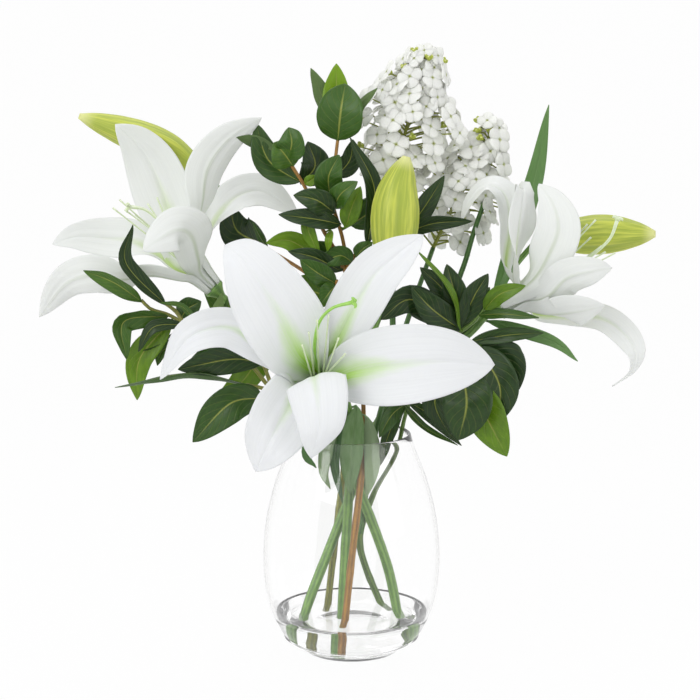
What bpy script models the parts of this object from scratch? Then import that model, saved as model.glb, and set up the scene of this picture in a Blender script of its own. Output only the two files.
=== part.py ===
# Three open white lilies with buds, white lilac and glossy foliage, standing in a clear tear-drop vase.
# Metres, +Z up, the front bloom faces -Y, the origin is the centre of the vase's underside.
import math

import bmesh
import bpy
import numpy as np

mm = 0.001

# ---- driving dimensions ----
vase_height = 151 * mm
vase_widest_radius = 60 * mm
vase_mouth_radius = 40 * mm
vase_wall = 2.0 * mm
vase_floor = 6.0 * mm
water_level = 28 * mm
water_gap = 0.35 * mm
tepal_thickness = 1.0 * mm
leaf_thickness = 0.8 * mm
lily_stem_radius = 3.4 * mm
pedicel_radius = 2.4 * mm
twig_radius = 1.4 * mm
filament_radius = 0.7 * mm
style_radius = 1.1 * mm
receptacle_radius = 7.6 * mm
leaf_steps = 5
tepal_steps = 8
tepal_across = 3

# outside of the vase as (height, radius) shares of the height and the widest radius
vase_profile = [
    (0.000, 0.46), (0.020, 0.58), (0.066, 0.74), (0.146, 0.868), (0.240, 0.950), (0.330, 0.988),
    (0.424, 1.000), (0.520, 0.990), (0.610, 0.963), (0.700, 0.915), (0.790, 0.850), (0.880, 0.765),
    (0.950, 0.700), (0.990, 0.672),
]

# Each bloom: where its tepals meet, which way it opens, and the points every tepal passes through
# after the throat. (place round the axis in degrees, layer, half width, cup in degrees, turn of the
# right edge, points)
blooms = {
    "front": {
        "base": (-19, -40, 196), "axis": (-0.10, -0.98, 0.10),
        "tepals": {
            "right": (5, "inner", 25, 14, 0, [(4, -87, 208), (29, -101, 214), (58, -101, 216), (89, -88, 212)]),
            "upper_right": (62, "outer", 17, 18, 0, [(-8, -80, 228), (11, -88, 264), (28, -82, 280), (45, -66, 291)]),
            "upper_left": (122, "inner", 23, 16, 0,
                           [(-34, -82, 220), (-43, -97, 243), (-58, -103, 266), (-72, -99, 278), (-84, -90, 276)]),
            "left": (175, "outer", 13, 20, 0,
                     [(-41, -76, 211), (-57, -82, 224), (-78, -84, 235), (-102, -84, 228), (-121, -72, 200)]),
            "lower_left": (228, "outer", 18, 10, 0,
                           [(-34, -80, 191), (-41, -90, 182), (-53, -97, 168), (-74, -92, 148)]),
            "lower": (288, "inner", 16, -28, 0,
                      [(-20, -83, 199), (-23, -99, 207), (-21, -112, 195), (-20, -116, 177), (-25, -108, 157)]),
        },
        "style": [(-21, -66, 203), (-21, -84, 214), (-18, -101, 230), (-11, -110, 239), (5, -114, 242)],
        "filaments": [(-26, -112, 236), (-21, -110, 243), (-14, -106, 246), (-8, -110, 232), (-4, -108, 222),
                      (-30, -112, 228)],
    },
    "left": {
        "base": (-92, -8, 251), "axis": (-0.66, -0.22, 0.72),
        "tepals": {
            "back": (180, "outer", 20, 14, 0,
                     [(-117, 9, 284), (-125, 19, 306), (-134, 24, 328), (-144, 22, 344), (-157, 14, 357)]),
            "up": (60, "outer", 12, 20, 0,
                   [(-102, -17, 285), (-99, -7, 307), (-95, 0, 329), (-81, 2, 348), (-59, -2, 362)]),
            "right": (120, "inner", 14, 20, 0,
                      [(-98, 4, 280), (-88, 18, 298), (-76, 26, 309), (-59, 30, 311), (-36, 26, 296)]),
            "far_left": (240, "inner", 15, 16, 0,
                         [(-127, -3, 271), (-144, 3, 280), (-163, 6, 282), (-183, 3, 283), (-198, -4, 279)]),
            "low_left": (300, "outer", 14, 16, 0,
                         [(-113, -24, 258), (-131, -30, 262), (-150, -30, 259), (-170, -26, 261),
                          (-189, -16, 253), (-207, -8, 231)]),
            "lip": (0, "inner", 19, 10, 0,
                    [(-103, -30, 272), (-109, -40, 284), (-115, -49, 287), (-119, -56, 281), (-116, -57, 273)]),
        },
        "style": [(-106, -14, 270), (-119, -16, 288), (-133, -18, 302), (-144, -20, 305)],
        "filaments": [(-152, -12, 309), (-148, -18, 303), (-142, -10, 299), (-134, -8, 306), (-128, -6, 310),
                      (-156, -16, 304)],
    },
    "right": {
        "base": (100, -8, 237), "axis": (0.86, -0.12, 0.48),
        "tepals": {
            "near_up": (98, "inner", 14, 20, 0,
                        [(107, -15, 260), (108, -20, 283), (111, -18, 303), (113, -8, 315), (110, 1, 312)]),
            "far_left": (42, "outer", 11, 16, 0,
                         [(103, 4, 264), (106, 6, 290), (102, 8, 311), (90, 9, 317), (79, 8, 307), (73, 4, 293)]),
            "rolled": (150, "outer", 15, 10, -70,
                       [(120, -26, 259), (128, -29, 274), (134, -27, 291), (131, -18, 307), (123, -7, 319)]),
            "near": (202, "inner", 13, 14, 0, [(127, -29, 247), (139, -35, 260), (156, -36, 265), (169, -30, 266)]),
            "near_low": (255, "outer", 16, 14, 0, [(131, -22, 235), (146, -33, 238), (164, -36, 242)]),
            "hanging": (322, "inner", 10, 14, 0,
                        [(122, 2, 232), (143, 6, 230), (166, 2, 229), (181, -2, 220), (189, -6, 207),
                         (186, -8, 194), (174, -8, 184)]),
        },
        "style": [(124, -14, 250), (148, -16, 266), (161, -18, 276), (169, -20, 285), (173, -20, 296)],
        "filaments": [(160, -14, 296), (155, -12, 293), (158, -8, 284), (164, -16, 279), (172, -22, 275),
                      (168, -6, 274)],
    },
}

# Closed buds: points along the middle from the stalk end to the tip, and the greatest radius.
buds = {
    "left_bud": ([(-101, 40, 322), (-124, 40, 339), (-153, 38, 351), (-184, 34, 362)], 11.5),
    "right_bud": ([(134, 26, 280), (168, 22, 283), (204, 14, 284)], 13.5),
    "centre_bud": ([(27, -18, 262), (28, -16, 290), (30, -12, 314), (36, -10, 337)], 16),
}

# Lilies: the path from the foot to the flower, side stalks to buds, and lance-shaped leaves.
# A leaf is (base, middle, tip, half width, turn, cup); turn 0 faces the front, 180 shows the underside.
lilies = {
    "front_lily": {
        "path": [(-7, 1, 9), (-6, 0, 34), (-2, -4, 109), (0, -6, 147), (-4, -14, 176), (-17, -34, 195)],
        "end": "front",
        "stalks": [([(-4, -13, 174), (8, -22, 205), (20, -22, 238)], "centre_bud")],
        "leaves": [
            ((3, -12, 170), (0, -24, 147), (-1, -20, 113), 7, 0, 25),
            ((10, -14, 164), (14, -23, 136), (10, -20, 111), 5, 170, 20),
            ((-5, -16, 175), (-11, -27, 141), (-6, -25, 108), 3.4, 20, 20),
            ((-8, -20, 178), (-18, -29, 135), (-14, -26, 118), 4.5, 170, 20),
            ((-10, -24, 182), (-29, -40, 148), (-23, -42, 136), 4.5, 0, 15),
        ],
    },
    "right_lily": {
        "path": [(-33, -6, 12), (-30, -5, 32), (-10, 6, 82), (3, 12, 115), (19, 14, 157), (53, 8, 199),
                 (77, 0, 217), (97, -7, 234)],
        "end": "right",
        "stalks": [([(62, 6, 206), (92, 26, 236), (116, 32, 266)], "right_bud")],
        "leaves": [
            ((97, 14, 241), (121, 20, 313), (131, 14, 370), 6, -10, 25),
            ((93, 4, 226), (133, -10, 215), (150, -14, 202), 4, 0, 20),
        ],
    },
    "left_lily": {
        "path": [(34, 0, 11), (25, 2, 56), (8, -8, 106), (0, -14, 128), (-11, -14, 159), (-35, 0, 194),
                 (-68, 4, 221), (-88, -6, 246)],
        "end": "left",
        "stalks": [([(-52, 3, 210), (-72, 36, 256), (-86, 54, 300)], "left_bud")],
        "leaves": [],
    },
}

# Woody stems with glossy leaves: the main path first, then the side twigs, then the leaves as above.
greenery = {
    "upper_greenery": {
        "twigs": [
            [(-6, -20, 9), (0, -22, 68), (6, -22, 122), (8, -8, 150), (7, 0, 187), (0, 6, 240), (-2, 7, 257),
             (-6, 6, 282), (-12, 4, 303), (-12, 4, 318), (-11, 6, 331), (-10, 8, 340), (-9, 8, 348)],
            [(-1, 7, 254), (-12, 4, 276), (-19, 2, 288), (-26, 0, 305), (-31, -1, 317), (-39, -2, 330), (-43, -3, 337)],
            [(-1, 7, 262), (4, 6, 273), (12, 2, 280)],
            [(0, 6, 234), (-14, 9, 247), (-35, 13, 261), (-59, 18, 275)],
            [(0, 6, 228), (-9, 0, 241), (-10, -2, 255)],
            [(4, 2, 214), (22, 8, 247), (35, 8, 281)],
        ],
        "leaves": [
            ((-10, 10, 352), (-10, 15, 373), (-10, 14, 397), 8.4, 0, 15),
            ((-11, 12, 351), (-17, 17, 370), (-27, 17, 394), 6.0, 160, 20),
            ((-9, 6, 348), (-7, -1, 367), (-4, 8, 384), 13.9, 0, 35),
            ((-8, 10, 348), (3, 12, 367), (17, 10, 381), 5.3, 130, 20),
            ((-10, 12, 323), (-1, 17, 333), (1, 15, 347), 6.7, 20, 15),
            ((-39, -4, 331), (-45, -10, 340), (-51, -9, 346), 9.2, 0, 25),
            ((-42, -6, 336), (-39, -13, 346), (-41, -10, 356), 8.5, -10, 25),
            ((-36, 0, 321), (-55, 3, 334), (-63, 4, 358), 8.6, 0, 15),
            ((-49, 2, 339), (-62, 5, 345), (-76, 3, 349), 4.7, 150, 15),
            ((-47, 4, 339), (-58, 9, 335), (-65, 9, 332), 4.7, 0, 10),
            ((-33, 4, 319), (-24, 8, 330), (-29, 8, 346), 8.7, 10, 10),
            ((-32, 0, 318), (-27, -4, 321), (-22, -4, 324), 3.3, 0, 10),
            ((-14, 0, 311), (-15, -7, 324), (-8, -7, 338), 8.2, 0, 15),
            ((-12, -2, 303), (-7, -13, 313), (4, -13, 321), 6.2, -20, 20),
            ((-4, 2, 290), (0, -5, 303), (6, -3, 317), 5.9, 0, 15),
            ((-12, -2, 300), (-23, -15, 309), (-38, -13, 312), 7.2, 0, 15),
            ((-8, 0, 292), (-23, -9, 296), (-48, -9, 299), 5.9, 20, 20),
            ((-25, -2, 301), (-29, -5, 290), (-21, -3, 271), 4.0, 0, 15),
            ((-14, 0, 288), (-15, -5, 282), (-16, -2, 274), 2.6, 30, 10),
            ((-20, 10, 264), (-40, 5, 280), (-57, 4, 279), 6.6, 0, 15),
            ((-8, 2, 261), (-24, -4, 270), (-42, -2, 274), 5.3, 0, 15),
            ((-10, -2, 252), (-22, -8, 260), (-34, -8, 269), 6.6, 0, 15),
            ((-10, -3, 251), (-14, -8, 248), (-20, -8, 240), 5.9, 0, 10),
            ((0, 5, 266), (-8, -1, 271), (-22, -1, 265), 6.0, 0, 10),
            ((3, 4, 270), (8, -2, 276), (14, -2, 280), 4.6, 0, 10),
            ((11, 0, 281), (15, -1, 316), (-1, -1, 349), 5.3, 0, 30),
            ((35, 6, 284), (54, 2, 292), (80, -2, 294), 4.6, 10, 20),
            ((35, 8, 283), (50, 12, 304), (62, 14, 323), 6.1, 0, 15),
            ((-59, 20, 276), (-78, 36, 284), (-83, 38, 302), 11.5, 0, 20),
            ((-56, 16, 273), (-61, 12, 282), (-66, 11, 292), 2.7, 50, 10),
        ],
    },
    "left_greenery": {
        "twigs": [
            [(-18, 14, 12), (-13, 14, 58), (-8, 20, 99), (-5, 22, 130), (-12, 6, 148), (-22, -16, 159),
             (-36, -36, 175), (-51, -46, 188), (-64, -50, 205), (-77, -50, 218), (-95, -44, 225),
             (-109, -36, 231), (-119, -34, 236), (-130, -36, 240), (-136, -37, 246)],
            [(-51, -46, 188), (-54, -48, 198), (-58, -50, 208), (-65, -52, 214)],
            [(-51, -46, 188), (-60, -50, 191), (-68, -52, 193)],
            [(-109, -36, 231), (-114, -34, 238), (-121, -36, 244)],
        ],
        "leaves": [
            ((-137, -39, 246), (-152, -46, 258), (-172, -44, 266), 5.8, -25, 30),
            ((-122, -38, 245), (-144, -50, 272), (-139, -50, 296), 5.1, 35, 35),
            ((-121, -36, 235), (-147, -42, 232), (-145, -48, 209), 7.0, -30, 30),
            ((-110, -37, 230), (-128, -42, 229), (-138, -42, 213), 3.8, 20, 25),
            ((-118, -36, 231), (-138, -36, 207), (-140, -36, 180), 7.7, 0, 20),
            ((-117, -33, 223), (-128, -35, 216), (-138, -35, 212), 2.2, 60, 10),
            ((-114, -32, 219), (-124, -31, 211), (-127, -31, 202), 3.9, 0, 15),
            ((-111, -34, 233), (-107, -28, 239), (-98, -28, 244), 6.5, 0, 20),
            ((-98, -40, 227), (-109, -40, 242), (-124, -42, 245), 2.6, 55, 10),
            ((-90, -44, 223), (-88, -34, 235), (-84, -32, 250), 4.5, 150, 10),
            ((-81, -48, 221), (-80, -34, 231), (-80, -30, 248), 4.5, 0, 10),
            ((-72, -48, 214), (-74, -30, 230), (-78, -26, 242), 3.9, 0, 10),
            ((-57, -49, 184), (-78, -60, 182), (-102, -60, 157), 10.7, 0, 25),
            ((-58, -50, 206), (-77, -55, 210), (-111, -58, 204), 8.2, 0, 15),
            ((-68, -52, 193), (-103, -58, 201), (-151, -62, 193), 5.0, -62, 20),
        ],
    },
    "right_greenery": {
        "twigs": [
            [(27, 16, 12), (10, 18, 52), (6, 21, 75), (16, 20, 105), (30, 6, 135), (38, -6, 170), (53, -10, 197),
             (66, -14, 215), (72, -20, 223)],
            [(57, -8, 202), (66, -24, 203), (72, -38, 199)],
            [(40, -6, 174), (38, -14, 176), (35, -24, 175)],
            [(65, -13, 214), (77, -18, 213), (83, -26, 212)],
            [(72, -20, 223), (80, -24, 230), (87, -26, 239)],
        ],
        "leaves": [
            ((66, -20, 227), (39, -27, 245), (19, -29, 232), 9.1, 0, 15),
            ((69, -22, 226), (52, -34, 240), (39, -32, 254), 8.4, 0, 15),
            ((70, -19, 226), (62, -19, 248), (45, -17, 265), 7.2, 10, 15),
            ((71, -24, 226), (64, -33, 252), (41, -29, 279), 3.2, 60, 20),
            ((72, -21, 227), (67, -27, 250), (62, -25, 268), 7.8, 0, 20),
            ((73, -21, 227), (80, -27, 247), (89, -27, 262), 7.1, 0, 20),
            ((87, -28, 239), (96, -38, 250), (112, -42, 256), 5.2, -10, 15),
            ((84, -27, 235), (100, -38, 237), (121, -42, 235), 3.9, -50, 15),
            ((80, -24, 217), (102, -30, 222), (125, -34, 224), 4.5, -20, 20),
            ((83, -26, 214), (105, -29, 214), (112, -29, 209), 3.9, 0, 10),
            ((83, -26, 214), (102, -30, 206), (110, -30, 186), 9.7, 0, 15),
            ((83, -28, 212), (96, -42, 191), (95, -42, 165), 11.5, 0, 20),
            ((72, -40, 198), (74, -56, 181), (69, -54, 157), 14.5, 0, 22),
            ((75, -36, 194), (91, -48, 164), (101, -48, 145), 11.4, 0, 18),
            ((69, -30, 200), (54, -42, 181), (64, -42, 157), 7.7, 20, 15),
            ((37, -18, 177), (51, -36, 170), (72, -38, 150), 3.9, 20, 15),
            ((35, -26, 175), (47, -44, 164), (69, -46, 152), 2.6, -50, 15),
            ((35, -26, 175), (26, -38, 170), (18, -45, 157), 5.1, 0, 15),
            ((34, -18, 175), (24, -21, 152), (19, -21, 133), 3.9, 0, 20),
        ],
    },
}

# Lilac: stems, then each panicle as its axis points with the spread radius at each of them.
lilac_stems = [
    [(6, -5, 82), (10, 2, 112), (14, 3, 140), (20, 8, 165), (32, 20, 205), (44, 30, 240), (56, 40, 272)],
    [(28, 16, 195), (28, 26, 240), (30, 32, 280), (32, 34, 312)],
    [(38, 22, 212), (60, 20, 225), (75, 25, 258), (83, 28, 284), (90, 30, 304)],
]
lilac_panicles = [
    {"axis": [(32, 34, 312), (34, 34, 340), (42, 34, 372), (50, 32, 404)], "radius": [10, 27, 27, 9]},
    {"axis": [(56, 40, 272), (70, 46, 300), (88, 46, 330), (96, 44, 356)], "radius": [20, 26, 24, 9]},
]
floret_radius = 6.2 * mm


def vector(point):
    return np.array(point, dtype=float) * mm


def unit(v):
    length = np.linalg.norm(v)
    return v / length if length > 1e-12 else v


def smooth_path(points, count):
    """Even steps along a Catmull-Rom curve through the points."""
    p = np.array(points, dtype=float)
    if len(p) == 2:
        fine = np.linspace(p[0], p[1], 40)
    else:
        ends = np.vstack([2 * p[0] - p[1], p, 2 * p[-1] - p[-2]])
        fine = []
        for i in range(len(p) - 1):
            a, b, c, d = ends[i:i + 4]
            for s in np.linspace(0, 1, 16, endpoint=False):
                fine.append(0.5 * (2 * b + (c - a) * s + (2 * a - 5 * b + 4 * c - d) * s * s
                                   + (3 * b - a - 3 * c + d) * s ** 3))
        fine.append(p[-1])
        fine = np.array(fine)
    steps = np.concatenate([[0], np.cumsum(np.linalg.norm(np.diff(fine, axis=0), axis=1))])
    wanted = np.linspace(0, steps[-1], count)
    return np.column_stack([np.interp(wanted, steps, fine[:, k]) for k in range(3)])


def directions(path):
    return np.array([unit(t) for t in np.gradient(path, axis=0)])


def make_object(name, vertices, faces):
    mesh = bpy.data.meshes.new(name)
    mesh.from_pydata([tuple(v) for v in vertices], [], faces)
    work = bmesh.new()
    work.from_mesh(mesh)
    bmesh.ops.triangulate(work, faces=[f for f in work.faces if len(f.verts) == 4])
    bmesh.ops.recalc_face_normals(work, faces=work.faces)
    work.to_mesh(mesh)
    work.free()
    mesh.update()
    thing = bpy.data.objects.new(name, mesh)
    bpy.context.scene.collection.objects.link(thing)
    return thing


def tube(name, path, radii, sides=8, last=None):
    """A closed round bar along a path, its cross-section carried without twisting."""
    t = directions(path)
    if last is not None:
        t[-1] = last
    side = unit(np.cross(t[0], (0.31, 0.87, 0.22)))
    vertices = []
    for i, centre in enumerate(path):
        side = unit(side - t[i] * np.dot(side, t[i]))
        other = np.cross(t[i], side)
        for k in range(sides):
            a = 2 * math.pi * k / sides
            vertices.append(centre + radii[i] * (math.cos(a) * side + math.sin(a) * other))
    n = len(path)
    faces = [tuple(range(sides)), tuple(range((n - 1) * sides, n * sides))]
    for i in range(n - 1):
        for k in range(sides):
            j = (k + 1) % sides
            faces.append((i * sides + k, i * sides + j, (i + 1) * sides + j, (i + 1) * sides + k))
    return make_object(name, vertices, faces)


def blade(name, path, side, half, cup_left, cup_right, thickness, across):
    """A thin closed petal or leaf: a path, its width direction, half widths and how far the edges cup."""
    t = directions(path)
    upper, lower = [], []
    for i, centre in enumerate(path):
        w = unit(side[i] - t[i] * np.dot(side[i], t[i]))
        n = np.cross(w, t[i])
        for k in range(across + 1):
            u = 2 * k / across - 1
            cup = cup_right[i] if u > 0 else cup_left[i]
            if abs(cup) < 1e-3:
                cup = 1e-3
            a = u * cup if u > 0 else -abs(u) * cup
            reach = half[i] / cup
            flat = centre + w * reach * math.sin(abs(a)) * (1 if u > 0 else -1) * (1 if cup > 0 else -1) \
                + n * reach * (1 - math.cos(a))
            out = n * math.cos(a) - w * math.sin(a)
            upper.append(flat + out * thickness / 2)
            lower.append(flat - out * thickness / 2)
    row = across + 1
    count = len(path) * row
    faces = []
    for i in range(len(path) - 1):
        for k in range(across):
            a, b, c, d = i * row + k, i * row + k + 1, (i + 1) * row + k + 1, (i + 1) * row + k
            faces.append((a, b, c, d))
            faces.append((count + d, count + c, count + b, count + a))
        for k in (0, across):
            a, d = i * row + k, (i + 1) * row + k
            faces.append((a, d, count + d, count + a))
    for i in (0, len(path) - 1):
        for k in range(across):
            a, b = i * row + k, i * row + k + 1
            faces.append((a, b, count + b, count + a))
    return make_object(name, upper + lower, faces)


def fuse(name, things):
    """Join overlapping solids into one closed body."""
    body = things[0]
    body.name = name
    for other in things[1:]:
        join = body.modifiers.new("join", "BOOLEAN")
        join.operation = "UNION"
        join.solver = "MANIFOLD"
        join.object = other
        graph = bpy.context.evaluated_depsgraph_get()
        joined = bpy.data.meshes.new_from_object(body.evaluated_get(graph))
        body.modifiers.clear()
        body.data = joined
        bpy.data.objects.remove(other)
    keep_outer_shell(body.data)
    body.data.name = name
    return body


def keep_outer_shell(mesh):
    """Keep only the largest connected shell, so no pocket is left sealed inside."""
    work = bmesh.new()
    work.from_mesh(mesh)
    waiting = set(work.faces)
    shells = []
    while waiting:
        shell, edge = set(), [next(iter(waiting))]
        while edge:
            face = edge.pop()
            if face in shell:
                continue
            shell.add(face)
            for e in face.edges:
                edge.extend(f for f in e.link_faces if f not in shell)
        waiting -= shell
        shells.append(shell)
    shells.sort(key=len)
    for shell in shells[:-1]:
        bmesh.ops.delete(work, geom=list(shell), context="FACES")
    work.to_mesh(mesh)
    work.free()


def cut(body, cutters):
    for cutter in cutters:
        take = body.modifiers.new("take", "BOOLEAN")
        take.operation = "DIFFERENCE"
        take.solver = "EXACT"
        take.object = cutter
        graph = bpy.context.evaluated_depsgraph_get()
        left = bpy.data.meshes.new_from_object(body.evaluated_get(graph))
        body.modifiers.clear()
        body.data = left
        bpy.data.objects.remove(cutter)
    return body


def finish(thing, colour, roughness, clear=0.0):
    material = bpy.data.materials.new(thing.name)
    material.use_nodes = True
    shader = material.node_tree.nodes["Principled BSDF"]
    shader.inputs["Base Color"].default_value = (*colour, 1)
    shader.inputs["Roughness"].default_value = roughness
    shader.inputs["Transmission Weight"].default_value = clear
    thing.data.materials.clear()
    thing.data.materials.append(material)
    for face in thing.data.polygons:
        face.use_smooth = True
    return thing


def lathe(name, profile, segments):
    """Turn a closed (radius, height) loop about the upright axis; points on the axis are shared."""
    vertices, rings = [], []
    for r, z in profile:
        if r < 1e-9:
            rings.append([len(vertices)] * segments)
            vertices.append((0, 0, z))
            continue
        rings.append(list(range(len(vertices), len(vertices) + segments)))
        for k in range(segments):
            a = 2 * math.pi * k / segments
            vertices.append((r * math.cos(a), r * math.sin(a), z))
    faces = []
    for lower, upper in zip(rings, rings[1:]):
        for k in range(segments):
            j = (k + 1) % segments
            loop = []
            for v in (lower[k], lower[j], upper[j], upper[k]):
                if v not in loop:
                    loop.append(v)
            if len(loop) > 2:
                faces.append(tuple(loop))
    return make_object(name, vertices, faces)


def vase_radius(height):
    z = [s * vase_height for s, _ in vase_profile]
    r = [s * vase_widest_radius for _, s in vase_profile]
    return float(np.interp(height, z, r))


def build_vase():
    outside = [(0, 0)]
    for s, r in vase_profile:
        outside.append((r * vase_widest_radius, s * vase_height))
    mouth = vase_mouth_radius
    lip = [(mouth, vase_height - 0.7 * mm), (mouth - 0.8 * mm, vase_height), (mouth - 1.6 * mm, vase_height - 0.5 * mm)]
    inside = []
    for s, r in reversed(vase_profile):
        z = s * vase_height
        if vase_floor + 5 * mm < z < 0.97 * vase_height:
            inside.append((r * vase_widest_radius - vase_wall, z))
    inside += [(vase_radius(vase_floor) - 3 * mm, vase_floor + 3 * mm), (0.55 * vase_widest_radius, vase_floor), (0, vase_floor)]
    return finish(lathe("vase", outside + lip + inside, 24), (0.95, 0.98, 0.98), 0.03, 1.0)


def build_water(holes):
    """Clear set water: fills the foot of the vase, with a small gap to the glass and round every stem."""
    gap = water_gap
    profile = [(0, vase_floor + gap), (0.55 * vase_widest_radius - gap, vase_floor + gap),
               (vase_radius(vase_floor) - 3 * mm - gap, vase_floor + 3 * mm + gap)]
    for s, r in vase_profile:
        z = s * vase_height
        if vase_floor + 5 * mm < z < water_level - 1 * mm:
            profile.append((r * vase_widest_radius - vase_wall - gap, z))
    edge = vase_radius(water_level) - vase_wall - gap
    profile += [(edge - 0.1 * mm, water_level), (edge - 1.6 * mm, water_level - 0.7 * mm), (0, water_level - 0.7 * mm)]
    water = lathe("water", profile, 24)
    return finish(cut(water, holes), (0.93, 0.97, 0.97), 0.02, 1.0)


def tepal_shape(bloom, around, layer, half_width, cup, turn, points, count):
    """Path, width directions, half widths and cups of one tepal, from the throat tube out to its tip."""
    base = vector(bloom["base"])
    axis = unit(np.array(bloom["axis"], dtype=float))
    limb = [vector(p) for p in points]
    upward = unit(np.array([0.0, 0.0, 1.0]) - axis * axis[2])
    sideways = np.cross(upward, axis)
    radial = math.cos(around) * sideways + math.sin(around) * upward
    rings = [(0.1, 4.2), (14, 6.6), (26, 10.5)] if layer == "inner" else [(0.1, 6.4), (14, 9.2), (26, 13.5)]
    if np.dot(limb[0] - base, axis) < 36 * mm:
        rings = rings[:2]
    tube_points = [base + axis * s * mm + radial * r * mm for s, r in rings]
    path = smooth_path(tube_points + limb, count)
    share = np.linspace(0, 1, count)
    peak = 0.6
    narrow = 3.2 if layer == "inner" else 3.8
    rise = np.sin(math.pi / 2 * np.clip(share / peak, 0, 1)) ** 1.9
    fall = 1 - np.clip((share - peak) / (1 - peak), 0, 1) ** 2.4
    half = (narrow + (half_width - narrow) * rise) * fall ** 0.8
    half = np.maximum(half, 0.8) * mm
    away = path - base
    along = away @ axis
    reach = np.linalg.norm(away - np.outer(along, axis), axis=1)
    near = np.clip(1 - (along - 28 * mm) / (30 * mm), 0, 1)
    near = near * near * (3 - 2 * near)
    near = np.where(np.arange(count) > count * 0.55, 0, near)
    hug = np.clip(half / np.maximum(reach, 3 * mm), 0, 0.95)
    lay = math.radians(cup)
    grown = share ** 1.5
    left = near * hug + (1 - near) * lay
    right = left + math.radians(turn) * grown
    side = np.tile(np.cross(radial, axis), (count, 1))
    return path, side, half, left, right


def bloom_parts(bloom):
    """The tepals, the green seat under them, the style with its stigma and the six filaments."""
    base = vector(bloom["base"])
    axis = unit(np.array(bloom["axis"], dtype=float))
    parts = []
    for around, layer, half_width, cup, turn, points in bloom["tepals"].values():
        shape = tepal_shape(bloom, math.radians(around), layer, half_width, cup, turn, points, tepal_steps)
        parts.append(blade("tepal", *shape, tepal_thickness, tepal_across))
    seat = np.array([base + axis * s * mm for s in (-7, -4, -1.8, 0.9)])
    parts.append(tube("receptacle", seat, [3.0 * mm, 5.5 * mm, receptacle_radius, receptacle_radius], 10))
    centre = [base + axis * s * mm for s in (-1, 2, 8)]
    style = smooth_path(centre + [vector(p) for p in bloom["style"]], 9)
    thick = np.full(9, style_radius)
    thick[:2] = 1.5 * style_radius
    parts.append(tube("style", style, thick, 5))
    tip = unit(style[-1] - style[-3])
    stigma = np.array([style[-1] - tip * 1.0 * mm, style[-1] + tip * 0.8 * mm, style[-1] + tip * 2.2 * mm])
    parts.append(tube("stigma", stigma, [1.0 * mm, 2.4 * mm, 1.5 * mm], 5))
    sideways = unit(np.cross(axis, (0.2, 0.3, 0.9)))
    upward = np.cross(sideways, axis)
    for k, end in enumerate(bloom["filaments"]):
        a = 2 * math.pi * (k + 0.5) / len(bloom["filaments"])
        ring = (math.cos(a) * sideways + math.sin(a) * upward) * mm
        starts = [base + axis * s * mm + ring * r for s, r in ((-1, 2.2), (6, 2.7), (22, 3.2))]
        path = smooth_path(starts + [vector(end)], 5)
        parts.append(tube("filament", path, [filament_radius] * 4 + [filament_radius * 1.5], 3))
    return parts


def bud_solid(points, radius):
    """A spindle with three shallow grooves, split at its tip."""
    swell = [0.42, 0.70, 0.92, 1.0, 0.97, 0.82, 0.56, 0.24]
    count, sides = len(swell), 12
    path = smooth_path([vector(p) for p in points], count)
    thing = tube("bud", path, [radius * mm * s for s in swell], sides)
    for i in range(count):
        for k in range(sides):
            v = thing.data.vertices[i * sides + k]
            depth = 0.07 * math.sin(math.pi * i / (count - 1))
            groove = 1 - depth * (1 + math.cos(6 * math.pi * k / sides))
            v.co = path[i] + (np.array(v.co) - path[i]) * groove
    return thing, path


def nearest(point, paths):
    best = None
    for path in paths:
        for a, b in zip(path, path[1:]):
            s = np.clip(np.dot(point - a, b - a) / max(np.dot(b - a, b - a), 1e-12), 0, 1)
            there = a + (b - a) * s
            if best is None or np.linalg.norm(there - point) < np.linalg.norm(best - point):
                best = there
    return best


def leaf_solid(leaf, carriers):
    """One leaf with its stalk starting inside the twig that carries it."""
    base, middle, tip, half_width, turn, cup = leaf
    b, m, t = vector(base), vector(middle), vector(tip)
    start = nearest(b, carriers)
    points = [start, b, m, t] if np.linalg.norm(start - b) > 1.5 * mm else [start, m, t]
    path = smooth_path(points, leaf_steps)
    stalk = min(0.35, np.linalg.norm(start - b) / max(np.linalg.norm(m - b) + np.linalg.norm(t - m), 1e-6))
    share = np.linspace(0, 1, leaf_steps)
    body = np.clip((share - stalk * 0.8) / (1 - stalk * 0.8), 0, 1)
    half = half_width * np.sin(math.pi * body ** 0.85) ** 0.75
    half = np.maximum(np.nan_to_num(half), 0.75) * mm
    t0 = directions(path)
    angle = math.radians(turn)
    away = np.array([0.0, 1.0, 0.0])
    side = []
    flat = None
    for d in t0:
        level = np.cross(d, -away)
        level = -level if np.linalg.norm(level) > 0.2 or flat is None else flat
        flat = unit(level)
        side.append(-math.cos(angle) * flat + math.sin(angle) * away)
    cups = np.full(leaf_steps, math.radians(cup)) * np.clip(body * 4, 0.1, 1)
    across = 2 if half_width > 9 else 1
    return blade("leaf", path, np.array(side), half, cups, cups, leaf_thickness, across)


def build_greenery(name, plan):
    paths, parts = [], []
    for i, twig in enumerate(plan["twigs"]):
        points = [vector(p) for p in twig]
        if i:
            points[0] = nearest(points[0], paths)
        path = smooth_path(points, max(4, len(points) + 1))
        thick = (1.35 if i == 0 else 1.0) * twig_radius
        radii = np.linspace(thick, 0.8 * twig_radius, len(path))
        if i == 0:
            radii[:3] = 1.7 * twig_radius
        parts.append(tube("twig", path, radii, 5))
        paths.append(path)
    for leaf in plan["leaves"]:
        parts.append(leaf_solid(leaf, paths))
    return finish(fuse(name, parts), (0.10, 0.26, 0.05), 0.35), paths


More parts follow.
